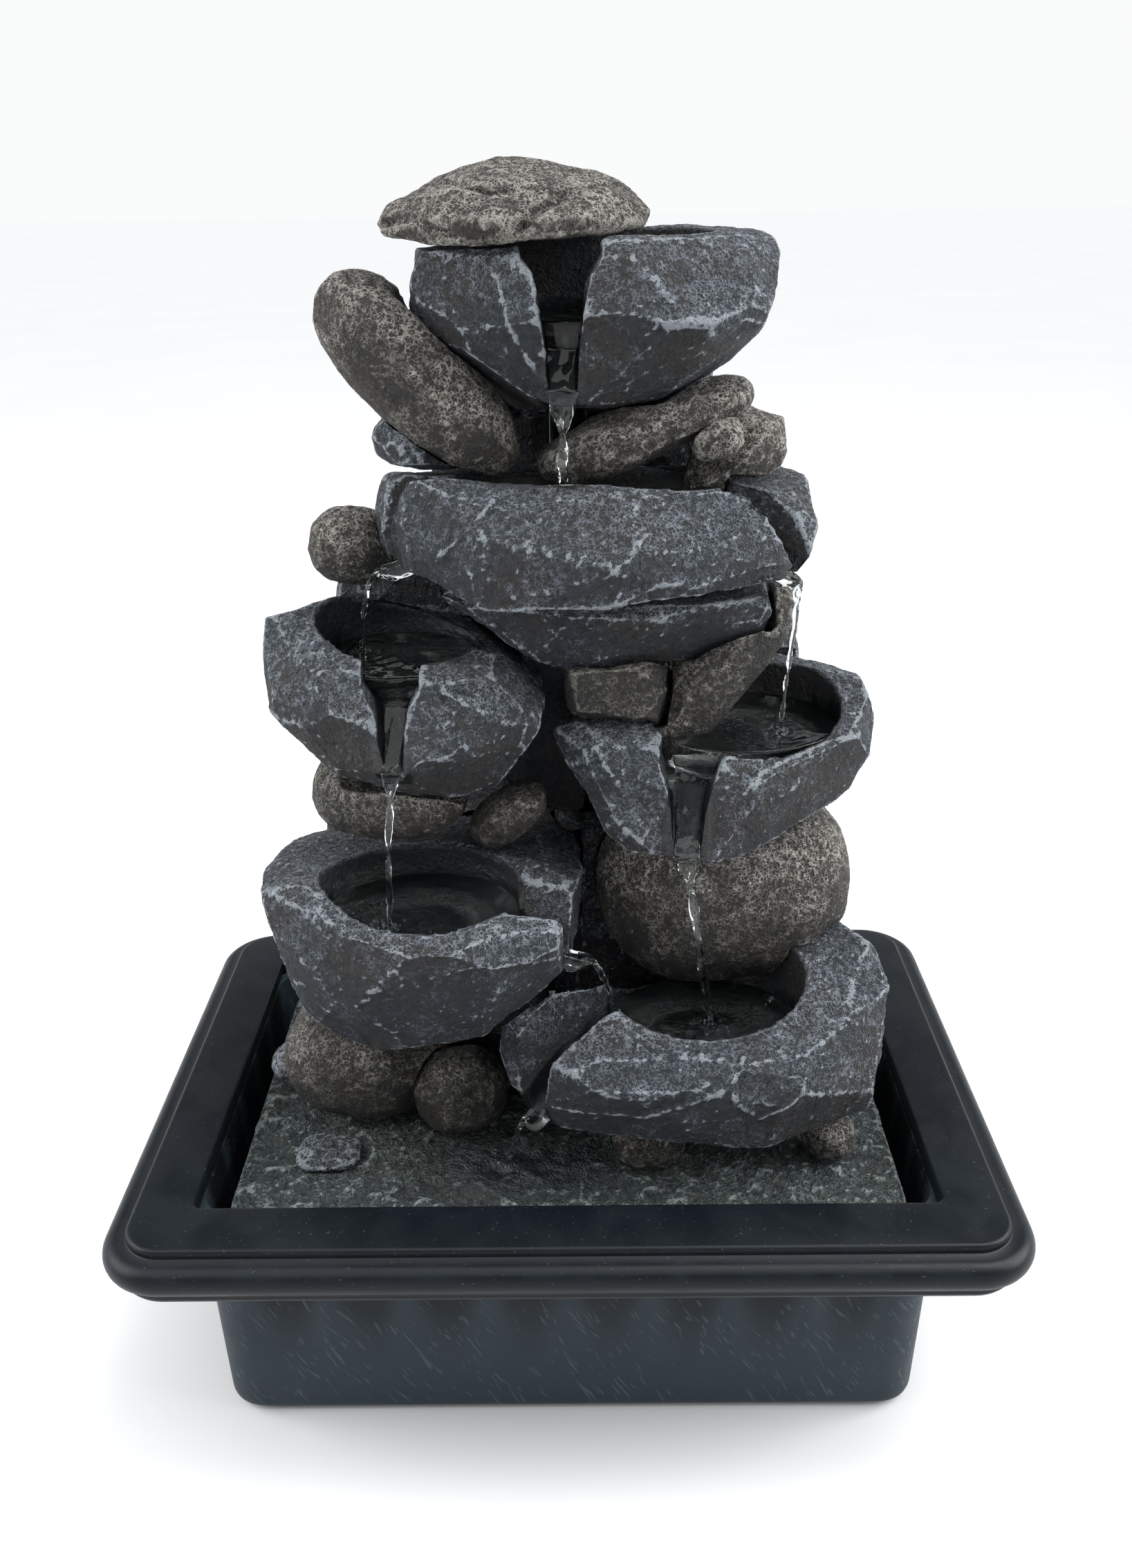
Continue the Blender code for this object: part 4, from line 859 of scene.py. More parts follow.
@dataclass
class Stone:
    """One cast stone: the solid's shape, remeshed finely and weathered."""

    node: str
    slot: Slot
    weathering: Weathering
    basin: Basin | None = None
    runs: tuple[str, ...] = ()               # channels that its notches carry
    damp_and_shade: float = 0.0                        # how wet the whole stone looks; also painted shade on low stones and those deep in the middle
    lumps: tuple[tuple[Point, ...], ...] = ()    # corners of knobs that grow out of it
    grooves: tuple[Groove, ...] = ()
    voxel: float = STONE_SKIN

    def build(self, frame: dict, tree: SurfaceTree, material: Material, seed: int) -> Item:
        """Carve the stone.

        Args:
            frame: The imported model.
            tree: The weathering tree.
            material: Its painted finish.
            seed: Seed of its random chips and noise.

        Returns:
            The finished piece, riding on the cascade.
        """
        item = solid_copy(frame["nodes"][self.node], self.node + "_carved")
        for corners in self.lumps:
            add_hull(item, corners)
        self.finish(item, tree, material, seed)
        attach(item, Body.CASCADE, self.slot, self.node)
        return item

    def finish(self, item: Item, tree: SurfaceTree, material: Material, seed: int) -> None:
        """Remesh a rough stone, break it, groove it and weather it.

        Args:
            item: The rough stone.
            tree: The weathering tree.
            material: Its painted finish.
            seed: Seed of its random chips and noise.
        """
        remesh(item, self.voxel, 1)
        co = positions(item)
        co = self.chipped(co, np.random.default_rng(seed))
        for groove in self.grooves:
            co = groove.press(co, self.normals(item))
        set_positions(item, co)
        wet, calm = self.masks(co, self.normals(item))
        set_attribute(item, "wet", wet)
        set_attribute(item, "calm", calm)
        tree.apply(item, self.weathering, seed, material)

    @staticmethod
    def normals(item: Item) -> np.ndarray:
        """The vertex normals."""
        values = np.zeros(len(item.data.vertices) * 3)
        item.data.vertices.foreach_get("normal", values)
        return values.reshape(-1, 3)

    def chipped(self, co: np.ndarray, rng: np.random.Generator) -> np.ndarray:
        """Break small flats off whatever stands out furthest in a number of random directions.

        Args:
            co: Points in millimetres.
            rng: The source of random directions.

        Returns:
            The points after chipping.
        """
        centre = co.mean(0)
        depth = self.weathering.chip_depth * min(1.0, float(np.ptp(co, axis=0).min()) / 34)
        for _ in range(self.weathering.chips):
            direction = rng.normal(size=3)
            direction /= np.linalg.norm(direction)
            reach = (co - centre) @ direction
            cut = reach.max() - depth * rng.uniform(0.3, 1.0)
            co = co - np.outer(np.maximum(reach - cut, 0), direction)
        return co

    def masks(self, co: np.ndarray, normals: np.ndarray) -> tuple[np.ndarray, np.ndarray]:
        """Where the stone is wet and where its surface stays calm: inside its hollow and down its notches.

        Args:
            co: Points in millimetres.
            normals: Their normals.

        Returns:
            Two shares for each point, wet and calm.
        """
        # Every point starts at the stone's own dampness: a wet look, partly painted shade.
        wet, calm = np.full(len(co), self.damp_and_shade), np.zeros(len(co))
        if self.basin:
            radial = co[:, :2] - np.array(self.basin.centre)
            outward = np.einsum("ij,ij->i", radial, normals[:, :2]) > 0.35 * np.linalg.norm(radial, axis=1)
            inside = self.basin.inside(co, 0.9) & ~outward
            rise = (co[:, 2] - self.basin.level) / 3.5
            wet = np.maximum(wet, inside * np.clip(1.15 - rise * 0.5, 0.5, 1.0))
            calm = 0.8 * inside
        for channel in CHANNELS:
            if channel.name in self.runs:
                near = channel.near(co)
                wet, calm = np.maximum(wet, near), np.maximum(calm, 0.85 * near)
        return wet, calm


@dataclass
class CoverRock(Stone):
    """A rock wedged in front of the tube, so that no gap shows it, darkened all over as painted shade."""

    def build(self, frame: dict, tree: SurfaceTree, material: Material, seed: int) -> Item:
        """Carve the rock from its corners alone."""
        item = mesh_object(self.node, [(0, 0, 0)], [])
        for corners in self.lumps:
            add_hull(item, corners)
        self.finish(item, tree, material, seed)
        attach(item, Body.CASCADE, self.slot)
        return item


@dataclass
class Deck(Stone):
    """The slate ground under the stones, flat below so that it rests on its ledges."""

    def masks(self, co: np.ndarray, normals: np.ndarray) -> tuple[np.ndarray, np.ndarray]:
        """Keep the underside and the sides calm, and wet the ground where water runs off."""
        calm = np.where(normals[:, 2] > 0.5, 0.0, 1.0)
        spread = np.hypot((co[:, 0] + 14) / 34, (co[:, 1] + 30) / 15)
        wet = np.clip(1.1 - spread, 0, 1) * 0.75 * (normals[:, 2] > 0.3)
        return wet, calm


TOP_BASIN = Basin((5, 26), (29, 13), 244.2, 251.0)
MIDDLE_BASIN = Basin((6, 10), (33, 10), 205.2, 213.2, (1.1, 5.2))
LEFT_UPPER_BASIN = Basin((-38, 9), (18.5, 17), 170.2, 178.2, (-47, 13))
RIGHT_UPPER_BASIN = Basin((42, 9), (24, 19), 151.2, 160.6, (51, 2))
LOWER_LEFT_BASIN = Basin((-33, -18), (23, 19), 116.2, 124.6, (-40, -24))
LOWER_RIGHT_BASIN = Basin((33, -18), (24, 18.5), 86.2, 93.2, (35, -20))

BOWLS = (
    Stone("top_bowl", Slot.GREY, CHISELLED, TOP_BASIN, ("top_channel",), grooves=(
        ridge((37.5, 9, 267), (35.6, 4, 260), (34.9, 1.7, 256), (36.7, 1.3, 252), (44.8, 12.8, 250)),
        ridge((8.7, 3.4, 241.6), (21, -1.3, 251.5), (33, 0.4, 251.7), (36.7, 1.3, 252)),
        ridge((-11.7, 6, 260.6), (-9.8, 4.4, 251), (-2.3, 7.7, 238)))),
    Stone("middle_bowl", Slot.GREY, CHISELLED, MIDDLE_BASIN, ("middle_left_channel", "middle_right_channel"), grooves=(
        ridge((-14, -3, 217), (-15.2, -4.9, 215.4), (-20, -4, 210), (-24, -3.3, 206.5), (-30, 0, 201)),
        ridge((26, -3, 217), (23.6, -5.6, 214.5), (16, -10.9, 208), (12, -12, 197)),
        ridge((-30, -2, 199), (-16, -9.8, 194.5), (10.4, -11.7, 195.3), (20.7, -11, 199.8), (34, -8, 200.8),
              (48, -4.6, 197)))),
    Stone("middle_bowl_foot", Slot.GREY, CHISELLED),
    Stone("left_upper_bowl", Slot.GREY, CHISELLED, LEFT_UPPER_BASIN, ("left_upper_channel",), grooves=(
        ridge((-57.8, -10.5, 178.6), (-52.4, -14.2, 175.7), (-48.5, -16.6, 168.4), (-44.7, -18, 160.6)),
        ridge((-25.8, -14.3, 177.8), (-17, -13.6, 172.5), (-7.9, -10.3, 174.4)))),
    Stone("right_upper_bowl", Slot.GREY, CHISELLED, RIGHT_UPPER_BASIN, ("right_upper_channel",), lumps=((
        (-6, 0, 164), (-6, -3, 160.5), (3, -7, 163), (3, -8, 157), (6, 4, 164), (2, 8, 156), (-4, 6, 165)),), grooves=(
            ridge((38, -18.4, 150.5), (44.6, -13, 156.5), (58, -5.7, 159.8), (70, -0.3, 161)),
            ridge((3, -5, 164), (7.4, -8, 161.5), (13.5, -13.9, 152), (21, -18.7, 140)))),
    Stone("lower_left_bowl", Slot.GREY, CHISELLED, LOWER_LEFT_BASIN, ("lower_left_channel",), grooves=(
        ridge((-67, -16, 133), (-61, -30, 113.6), (-38.6, -41.8, 118.4), (-17, -41.6, 124.3), (-2.5, -32.8, 121)),)),
    Stone("lower_right_bowl", Slot.GREY, CHISELLED, LOWER_RIGHT_BASIN, ("lower_right_channel",), grooves=(
        ridge((-3, -38.6, 84), (17.5, -43, 84.7), (37, -46.3, 94.9), (39.8, -41.7, 99.9)),
        ridge((37, -46.3, 94.9), (38.5, -46, 90), (44, -44, 84.7), (50.8, -44.8, 88.7), (56, -42.5, 98.4)))),
)
BOULDERS = (
    Stone("cap_stone", Slot.BROWN, WATER_WORN, grooves=(
        Groove(((13, 24, 277), (0.4, 10.4, 275.3), (-4.2, 5.9, 272.5), (-7.5, 4.6, 268.4)), 2.2, 1.0),
        Groove(((-23.2, 20.6, 278.5), (-18, 12.5, 277.7), (-12.6, 10.2, 276.4), (-8.5, 10.7, 276.7)), 1.6, 0.9),
        Groove(((-37, 21, 270.7), (-27.9, 9.8, 271.8), (-23.3, 7.5, 269.1), (-20.6, 6.7, 268)), 1.5, 0.9))),
    Stone("long_boulder", Slot.BROWN, WATER_WORN),
    Stone("slab_boulder", Slot.BROWN, WATER_WORN),
    Stone("upper_right_pebble", Slot.BROWN, WATER_WORN),
    Stone("round_stone_left", Slot.BROWN, WATER_WORN),
    Stone("upper_left_rock", Slot.GREY, CHISELLED),
    Stone("upper_right_rock", Slot.BROWN, CHISELLED),
    # The damp stones below are darker and glossier all over: partly wet, partly painted shade low down and in the
    # middle.
    Stone("centre_block", Slot.BROWN, CHISELLED, damp_and_shade=0.25),
    Stone("diagonal_boulder", Slot.BROWN, WATER_WORN, damp_and_shade=0.15),
    Stone("left_middle_boulder", Slot.BROWN, WATER_WORN, damp_and_shade=0.12),
    Stone("small_diagonal_stone", Slot.BROWN, WATER_WORN, damp_and_shade=0.3),
    Stone("big_right_boulder", Slot.BROWN, WATER_WORN),
    Stone("lower_left_pebble", Slot.BROWN, WATER_WORN, damp_and_shade=0.3),
    Stone("lower_left_boulder", Slot.BROWN, WATER_WORN, damp_and_shade=0.2),
    Stone("front_pebble", Slot.BROWN, WATER_WORN, damp_and_shade=0.1),
    Stone("right_pebble", Slot.BROWN, WATER_WORN, damp_and_shade=0.12),
    Stone("flat_stone", Slot.GREY, CHISELLED),
    Stone("edge_pebble", Slot.GREY, WATER_WORN),
    Stone("back_upper_stone", Slot.GREY, BACK_BREAK),
    Stone("back_middle_left_stone", Slot.GREY, BACK_BREAK),
    Stone("back_middle_right_stone", Slot.GREY, BACK_BREAK),
    Stone("back_lower_left_stone", Slot.GREY, BACK_BREAK),
    Stone("back_lower_right_stone", Slot.GREY, BACK_BREAK),
)
DECK = Deck("deck_plate", Slot.DECK, SLATE_GROUND)
# Darker and glossier all over: painted shade deep between the bowls.
COVER = CoverRock("tube_cover_rock", Slot.GREY, BACK_BREAK, damp_and_shade=0.5, lumps=((
    (-10, 17, 176), (4, 18, 178), (-10, 12, 160), (4, 14, 158), (-9, 16, 134), (5, 18, 130), (-8, 20, 178),
    (6, 20, 176), (-9, 20, 132), (6, 20.5, 132), (-15, 18.5, 152), (-15, 20, 136), (-15, 21, 150)),))


# ---------------------------------------------------------------- tub and rim


def rounded_outline(half_x: float, half_y: float, radius: float, z: float, straight: int, arc: int) -> np.ndarray:
    """Points round a rectangle with arcs at its corners.

    Args:
        half_x: Half the length.
        half_y: Half the depth.
        radius: Corner radius.
        z: Height.
        straight: Points along each straight side.
        arc: Points round each corner.

    Returns:
        An array of points, anticlockwise seen from above.
    """
    points = []
    for corner, (sx, sy) in enumerate(((1, 1), (-1, 1), (-1, -1), (1, -1))):
        centre = np.array((sx * (half_x - radius), sy * (half_y - radius)))
        angles = math.pi / 2 * (corner + np.linspace(0, 1, arc))
        bend = centre + radius * np.stack([np.cos(angles), np.sin(angles)], 1)
        turn = math.pi / 2 * (corner + 1)
        length = 2 * ((half_y if corner % 2 else half_x) - radius)
        step = np.linspace(0, 1, straight + 1, endpoint=False)[1:, None] * length
        run = bend[-1] + step * np.array((math.cos(turn + math.pi / 2), math.sin(turn + math.pi / 2)))
        points.extend((bend, run))
    flat = np.concatenate(points)
    return np.column_stack([flat, np.full(len(flat), z)])


@dataclass
class Tub:
    """The moulded tub, with scallops down its walls that fade out before the bottom."""

    length: float = 173.6
    depth: float = 106.0
    top: float = 63.2
    bottom: float = 1.2
    floor: float = 3.6
    wall: float = 1.8
    draft: float = 1.0
    corner: float = 9.0
    edge: float = 2.2            # rounding of the bottom edge
    flute_depth: float = 1.4
    flute_pitch: float = 18.5

    def outline(self, inset: float, z: float, flute: float) -> np.ndarray:
        """One level of the wall, scalloped to the given share.

        Args:
            inset: How far the level is inside the tub's top.
            z: Its height.
            flute: Share of the scallops' depth.

        Returns:
            The level's points.
        """
        half_x, half_y = self.length / 2 - inset, self.depth / 2 - inset
        points = rounded_outline(half_x, half_y, self.corner, z, 120, 12)
        for axis, across, half in ((0, 1, half_x), (1, 0, half_y)):
            straight = half - self.corner
            count = round(2 * straight / self.flute_pitch)
            along = (points[:, axis] + straight) / (2 * straight)
            hollow = np.abs(np.sin(math.pi * count * along)) ** 0.8 * ((along > 0) & (along < 1))
            reach = (half_y if across == 1 else half_x)
            on_face = np.abs(np.abs(points[:, across]) - reach) < 0.01
            points[:, across] -= np.sign(points[:, across]) * hollow * on_face * flute * self.flute_depth
        return points

    def build(self, material: Material) -> Item:
        """Make the tub with its ledges and its gland hole, and ride it on the base."""
        loops = []
        for share in np.linspace(0, 1, 5):
            angle = math.pi / 2 * share
            inset = self.draft + self.edge * (1 - math.sin(angle))
            loops.append(self.outline(inset, self.bottom + self.edge * (1 - math.cos(angle)), 0.0))
        for share in np.linspace(0.06, 1.0, 40):
            z = self.bottom + share * (self.top - self.bottom)
            rise = min(max((share - 0.2) / 0.35, 0.0), 1.0)
            fade = min(max((0.9 - share) / 0.06, 0.0), 1.0)
            flute = rise * rise * (3 - 2 * rise) * fade
            loops.append(self.outline(self.draft * (1 - share), z, flute))
        loops.append(self.outline(self.wall, self.top, 0.0))
        inner = self.wall + self.draft + self.flute_depth
        loops.append(self.outline(inner, self.floor + 2.0, 0.0))
        loops.append(self.outline(inner + 1.2, self.floor, 0.0))
        item = mesh_object("tub_moulding", *loft(loops))
        for side in (-1, 1):
            for end in (-1, 1):
                combine(item, self.ledge(side, end), "UNION")
        combine(item, self.gland_hole(), "DIFFERENCE")
        item.data.set_sharp_from_angle(angle=math.radians(40))
        # How deep each point lies in a flute, which the material turns into painted light and shade.
        set_attribute(item, "flute", self.hollowness(positions(item)))
        dress(item, material)
        attach(item, Body.BASE, Slot.TUB, "basin_tub")
        return item

    def hollowness(self, co: np.ndarray) -> np.ndarray:
        """How far each point lies in one of the wall's scallops, narrowing downwards.

        Args:
            co: Points in millimetres.

        Returns:
            A share for each point.
        """
        share = (co[:, 2] - self.bottom) / (self.top - self.bottom)
        fade = np.clip((share - 0.22) / 0.45, 0, 1)
        result = np.zeros(len(co))
        for axis, half in ((0, self.length / 2), (1, self.depth / 2)):
            straight = half - self.draft - self.corner
            count = round(2 * straight / self.flute_pitch)
            along = (co[:, axis] + straight) / (2 * straight)
            face = (along > 0) & (along < 1)
            wave = np.abs(np.sin(math.pi * count * along))
            result = np.where(face, np.maximum(result, np.clip((wave - 1 + fade) / 0.6, 0, 1)), result)
        return result * fade

    def ledge(self, side: int, end: int) -> Item:
        """One rib that carries the deck."""
        x = end * (self.length / 2 - 41.8)
        wall = self.depth / 2 - self.draft - self.wall / 2
        points = rounded_outline(5.0, 2.9, 0.8, 0, 1, 4)[:, :2] + np.array((x, side * (wall - 2.9)))
        loops = [np.column_stack([points, np.full(len(points), z)]) for z in (self.floor - 1, 53.9)]
        return mesh_object("ledge", *loft(loops))

    def gland_hole(self) -> Item:
        """The hole in the back wall that the cord's gland sits in."""
        angles = np.linspace(0, 2 * math.pi, 32, endpoint=False)
        loops = [np.stack([-60 + 4.3 * np.cos(angles), np.full(32, y), 45 + 4.3 * np.sin(angles)], 1)
                 for y in (self.depth / 2 - 8, self.depth / 2 + 3)]
        return mesh_object("gland_hole", *loft(loops))


def combine(item: Item, cutter: Item, operation: str) -> None:
    """Apply a Boolean of a scratch object and remove it."""
    modifier = item.modifiers.new("cut", "BOOLEAN")
    modifier.operation = operation
    modifier.solver = "EXACT"
    modifier.object = cutter
    freeze(item)
    bpy.data.objects.remove(cutter, do_unlink=True)


@dataclass
class Rim:
    """The rim's turned section carried round the tub: plate, step, bead and lower lip."""

    length: float = 210.0
    depth: float = 142.4
    top: float = 66.9
    skirt: float = 53.8
    opening: float = 85.4        # half length of the opening
    grip: float = 87.1           # half length inside the rib that grips the tub
    bead: float = 3.6
    plate_inset: float = 5.6
    step: float = 2.0
    lip_inset: float = 3.8
    shell: float = 2.0
    corner: float = 15.0

    def section(self) -> list[tuple[float, float]]:
        """The section as points of reach and height, with every edge rounded."""
        reach = self.length / 2
        plate = reach - self.plate_inset
        points = self.arc(self.opening + 0.8, self.top - 0.8, 0.8, 180, 90, 5)
        points += self.arc(plate - 1.1, self.top - 1.1, 1.1, 90, 8, 7)
        points += [(plate + 0.1, self.top - self.step + 0.2), (plate + 0.5, self.top - self.step - 0.05)]
        points += self.arc(reach - self.bead, self.top - self.step - self.bead, self.bead, 84, -78, 15)
        points += self.arc(reach - self.lip_inset - 0.4, self.skirt + 1.6, 0.9, 30, -60, 5)
        points += self.arc(reach - self.lip_inset - 0.8, self.skirt + 0.8, 0.8, 0, -90, 4)
        points += [(reach - self.lip_inset - self.shell, self.skirt), (plate - self.shell, self.top - 5.0),
                   (plate - self.shell, self.top - 3.2), (self.grip + 2.2, self.top - self.shell),
                   (self.grip + 2.2, self.skirt + 2.0), (self.grip, self.skirt + 2.0), (self.grip, 63.5),
                   (self.opening, 63.5)]
        return points

    @staticmethod
    def arc(x: float, z: float, radius: float, start: float, end: float, count: int) -> list[tuple[float, float]]:
        """Points round part of a circle, between two angles in degrees."""
        angles = np.radians(np.linspace(start, end, count))
        return [(x + radius * math.cos(a), z + radius * math.sin(a)) for a in angles]

    def build(self, material: Material) -> Item:
        """Make the rim and ride it on the base."""
        across = (self.length - self.depth) / 2
        loops = []
        for reach, z in self.section():
            corner = max(1.8, self.corner + reach - self.length / 2)
            loops.append(rounded_outline(reach, reach - across, corner, z, 4, 14))
        item = mesh_object("rim_moulding", *loft(loops, closed=True))
        item.data.set_sharp_from_angle(angle=math.radians(38))
        dress(item, material)
        attach(item, Body.BASE, Slot.RIM, "rim_frame")
        return item


# ---------------------------------------------------------------- water


@dataclass(frozen=True)
class Channel:
    """Water that runs down a notch: stations of x, y, surface height and half width."""

    name: str
    stations: tuple[tuple[float, float, float, float], ...]

    def near(self, co: np.ndarray) -> np.ndarray:
        """How much each point lies in the water's way, from zero to one."""
        share = np.zeros(len(co))
        for x, y, z, half in smooth_path(np.array(self.stations), 40):
            away = np.hypot(co[:, 0] - x, co[:, 1] - y) - half
            above = co[:, 2] - z
            share = np.maximum(share, np.clip(1.8 - away / 1.6, 0, 1) * np.clip(2.6 - above / 2.0, 0, 1)
                               * (above > -6))
        return share

    def build(self) -> Surface:
        """A thin body of water with a crowned top, as points and faces."""
        stations = smooth_path(np.array(self.stations), 28)
        loops = []
        for i, (x, y, z, half) in enumerate(stations):
            ahead = stations[min(i + 1, len(stations) - 1), :2] - stations[max(i - 1, 0), :2]
            side = np.array((-ahead[1], ahead[0])) / max(np.hypot(*ahead), 1e-6)
            across = np.linspace(-1, 1, 11)
            lift = 0.22 * np.cos(across * 2.2 * math.pi + i * 0.5) + 0.12 * math.sin(i * 1.1)
            top = [(x + side[0] * half * a, y + side[1] * half * a, z + l - 0.25 * a * a) for a,
                   l in zip(across, lift)]
            deep = 1.0 + 3.0 * min(1.0, (len(stations) - 1 - i) / 6)
            low = [(x + side[0] * half * a, y + side[1] * half * a, z - deep) for a in across[::-1]]
            loops.append(np.array(top + low))
        return loft(loops)


def smooth_path(points: np.ndarray, count: int) -> np.ndarray:
    """Read evenly spaced stations off a smooth curve through some points.

    Args:
        points: Rows of x, y, z and any other values.
        count: How many stations to read.

    Returns:
        The stations, one a row.
    """
    padded = np.vstack([2 * points[0] - points[1], points, 2 * points[-1] - points[-2]])
    rows = []
    for value in np.linspace(0, len(points) - 1 - 1e-9, count):
        i, t = int(value), value - int(value)
        a, b, c, d = padded[i:i + 4]
        rows.append(0.5 * (2 * b + (c - a) * t + (2 * a - 5 * b + 4 * c - d) * t * t
                           + (3 * b - a - 3 * c + d) * t ** 3))
    return np.array(rows)


@dataclass(frozen=True)
class Fall:
    """Water in the air: strands that leave a lip side by side, draw together and twist round each other."""

    name: str
    path: tuple[Point, ...]
    spread: float                # half width between the strands at the lip
    side: tuple[float, float] = (1.0, 0.0)
    strand: float = 0.85         # radius of a strand
    turns: float = 1.1
    strands: int = 2
    film: float = 0.45           # share of the fall that a film spans

    def build(self) -> Surface:
        """The strands and their film, as points and faces."""
        path = smooth_path(np.array(self.path), 70)
        points, faces, offset = [], [], 0
        for number in range(self.strands):
            loops = []
            for i, centre in enumerate(path):
                share = i / (len(path) - 1)
                loops.append(self.ring(centre + self.swing(share, number), share, number, 12))
            offset = self.extend(points, faces, loft(loops), offset)
        if self.film:
            loops = []
            for i, centre in enumerate(path[:int(len(path) * self.film)]):
                share = i / (len(path) - 1)
                reach = self.swing(share, 0)
                across = np.linspace(-1, 1, 9)
                thick = np.array((-self.side[1], self.side[0], 0.0)) * 0.5
                front = [centre + reach * a - thick * (1 + 0.2 * math.cos(4 * a + 9 * share)) for a in across]
                back = [centre + reach * a + thick for a in across[::-1]]
                loops.append(np.array(front + back))
            self.extend(points, faces, loft(loops), offset)
        return np.concatenate(points), faces

    @staticmethod
    def extend(points: list, faces: list, part: Surface, offset: int) -> int:
        """Add one part's points and faces, and return the next vertex number."""
        points.append(part[0])
        faces.extend(tuple(v + offset for v in face) for face in part[1])
        return offset + len(part[0])

    def swing(self, share: float, number: int) -> np.ndarray:
        """How far a strand's middle is from the fall's axis."""
        radius = self.spread * (1 - min(share / 0.5, 1.0)) ** 1.2 + 0.55 * self.strand * min(share * 3, 1.0)
        angle = 2 * math.pi * (number / self.strands + self.turns * max(share - 0.25, 0.0))
        along = np.array((*self.side, 0.0))
        depth = np.array((-self.side[1], self.side[0], 0.0))
        return radius * (math.cos(angle) * along + math.sin(angle) * depth)

    def ring(self, centre: np.ndarray, share: float, number: int, count: int) -> np.ndarray:
        """One section of a strand, with slow swellings along it."""
        swell = 1 + 0.24 * math.sin(share * 23 + number * 2.1) + 0.14 * math.sin(share * 51 + number)
        radius = self.strand * swell * (1.05 - 0.35 * share)
        angles = np.linspace(0, 2 * math.pi, count, endpoint=False)
        flat = 0.75
        return centre + radius * np.stack([np.cos(angles), flat * np.sin(angles), np.zeros(count)], 1)


CHANNELS = (
    Channel("top_channel", ((1, 24, 250.9, 4.0), (1, 19.5, 250.1, 3.9), (1, 16, 246.4, 3.8), (1, 12, 242.2, 3.6),
                            (1, 9, 239.1, 3.4), (1, 7.2, 237.9, 3.2))),
    Channel("middle_left_channel", ((-22, 11, 212.6, 3.4), (-27, 11.3, 207.5, 3.2), (-31, 11.7, 202.4, 3.0),
                                    (-37, 12.2, 199.6, 2.8), (-43, 12.6, 197.5, 2.4))),
    Channel("middle_right_channel", ((31, 8.8, 212.4, 2.9), (35, 8.2, 206.5, 2.8), (39, 7.6, 203.4, 2.7),
                                     (45, 5.8, 201.0, 2.5), (50, 3.6, 198.9, 2.3), (53, 1.8, 197.2, 2.1))),
    Channel("left_upper_channel", ((-37.5, 0, 178.0, 6.2), (-37.5, -3.5, 175.4, 5.0), (-37.5, -6, 171.2, 3.4),
                                   (-37.5, -10, 167.6, 2.9), (-37.5, -14, 164.3, 2.7), (-37.5, -18, 161.2, 2.5),
                                   (-37.5, -20, 160.4, 2.2))),
    Channel("right_upper_channel", ((32, -1, 160.4, 6.5), (31, -5, 158.0, 5.5), (30, -8, 153.8, 4.0),
                                    (29, -12, 148.1, 3.4), (28.4, -16, 142.7, 3.2), (28, -19.4, 138.6, 2.8))),
    Channel("lower_left_channel", ((-19, -20, 124.2, 5.5), (-14, -21, 121.0, 4.0), (-9, -22, 118.4, 3.0),
                                   (-3, -23, 117.3, 2.6), (3, -23.5, 116.0, 2.4), (6, -24, 115.2, 2.0))),
    Channel("lower_right_channel", ((17, -17.5, 92.8, 5.0), (12, -19.5, 91.4, 4.4), (7, -22.7, 88.2, 3.2),
                                    (2, -26, 86.5, 2.8), (-3, -30.5, 82.6, 2.5), (-8, -35, 78.6, 2.3),
                                    (-10, -36.5, 77.9, 2.0))),
)
FALLS = (
    Fall("top_fall", ((1, 7.6, 237.6), (1, 6.6, 233.5), (1.1, 6.0, 227.0), (0.9, 5.5, 220.0), (1.1, 5.2, 212.8)), 2.9,
         strand=1.0, turns=1.2),
    Fall("middle_left_fall", ((-42.6, 12.6, 196.8), (-44.6, 12.6, 193.0), (-46.2, 12.8, 186.0), (-47, 13, 177.8)), 1.5,
         side=(0.3, 0.95), strand=0.6, film=0.2),
    Fall("middle_right_fall", ((52.6, 2.0, 196.6), (52.9, 1.2, 191.0), (51.8, 1.4, 177.0), (51, 2, 160.2)), 1.3,
         side=(0.8, 0.6), strand=0.6, turns=2.0, film=0.15),
    Fall("left_upper_fall", ((-37.5, -19, 160.6), (-37.8, -20.6, 157.0), (-38.8, -22.2, 145.0), (-40, -24, 124.2)),
         1.7, strand=0.75, turns=1.6),
    Fall("right_upper_fall", ((28, -19, 138.8), (28.6, -20.6, 134.0), (31, -20.8, 118.0), (35, -20, 92.8)), 2.2,
         strand=0.9, turns=1.9, film=0.3),
    Fall("lower_left_fall", ((5.4, -23.9, 115.2), (7.6, -23.4, 112.4), (10.2, -22, 105.0), (12, -20, 92.8)), 1.7,
         side=(0.25, -0.97), strand=0.7, turns=0.8),
    Fall("lower_right_fall", ((-9.2, -35.6, 78.2), (-10.8, -34.6, 75.2), (-12.8, -31, 68.0), (-14.6, -27, 59.4)), 1.6,
         side=(0.8, 0.6), strand=0.65, turns=0.7),
)


BODIES_OF_WATER = {
    "top": (TOP_BASIN, ("top",)),
    "middle": (MIDDLE_BASIN, ("middle_left", "middle_right")),
    "left_upper": (LEFT_UPPER_BASIN, ("left_upper",)),
    "right_upper": (RIGHT_UPPER_BASIN, ("right_upper",)),
    "lower_left": (LOWER_LEFT_BASIN, ("lower_left",)),
    "lower_right": (LOWER_RIGHT_BASIN, ("lower_right",)),
}


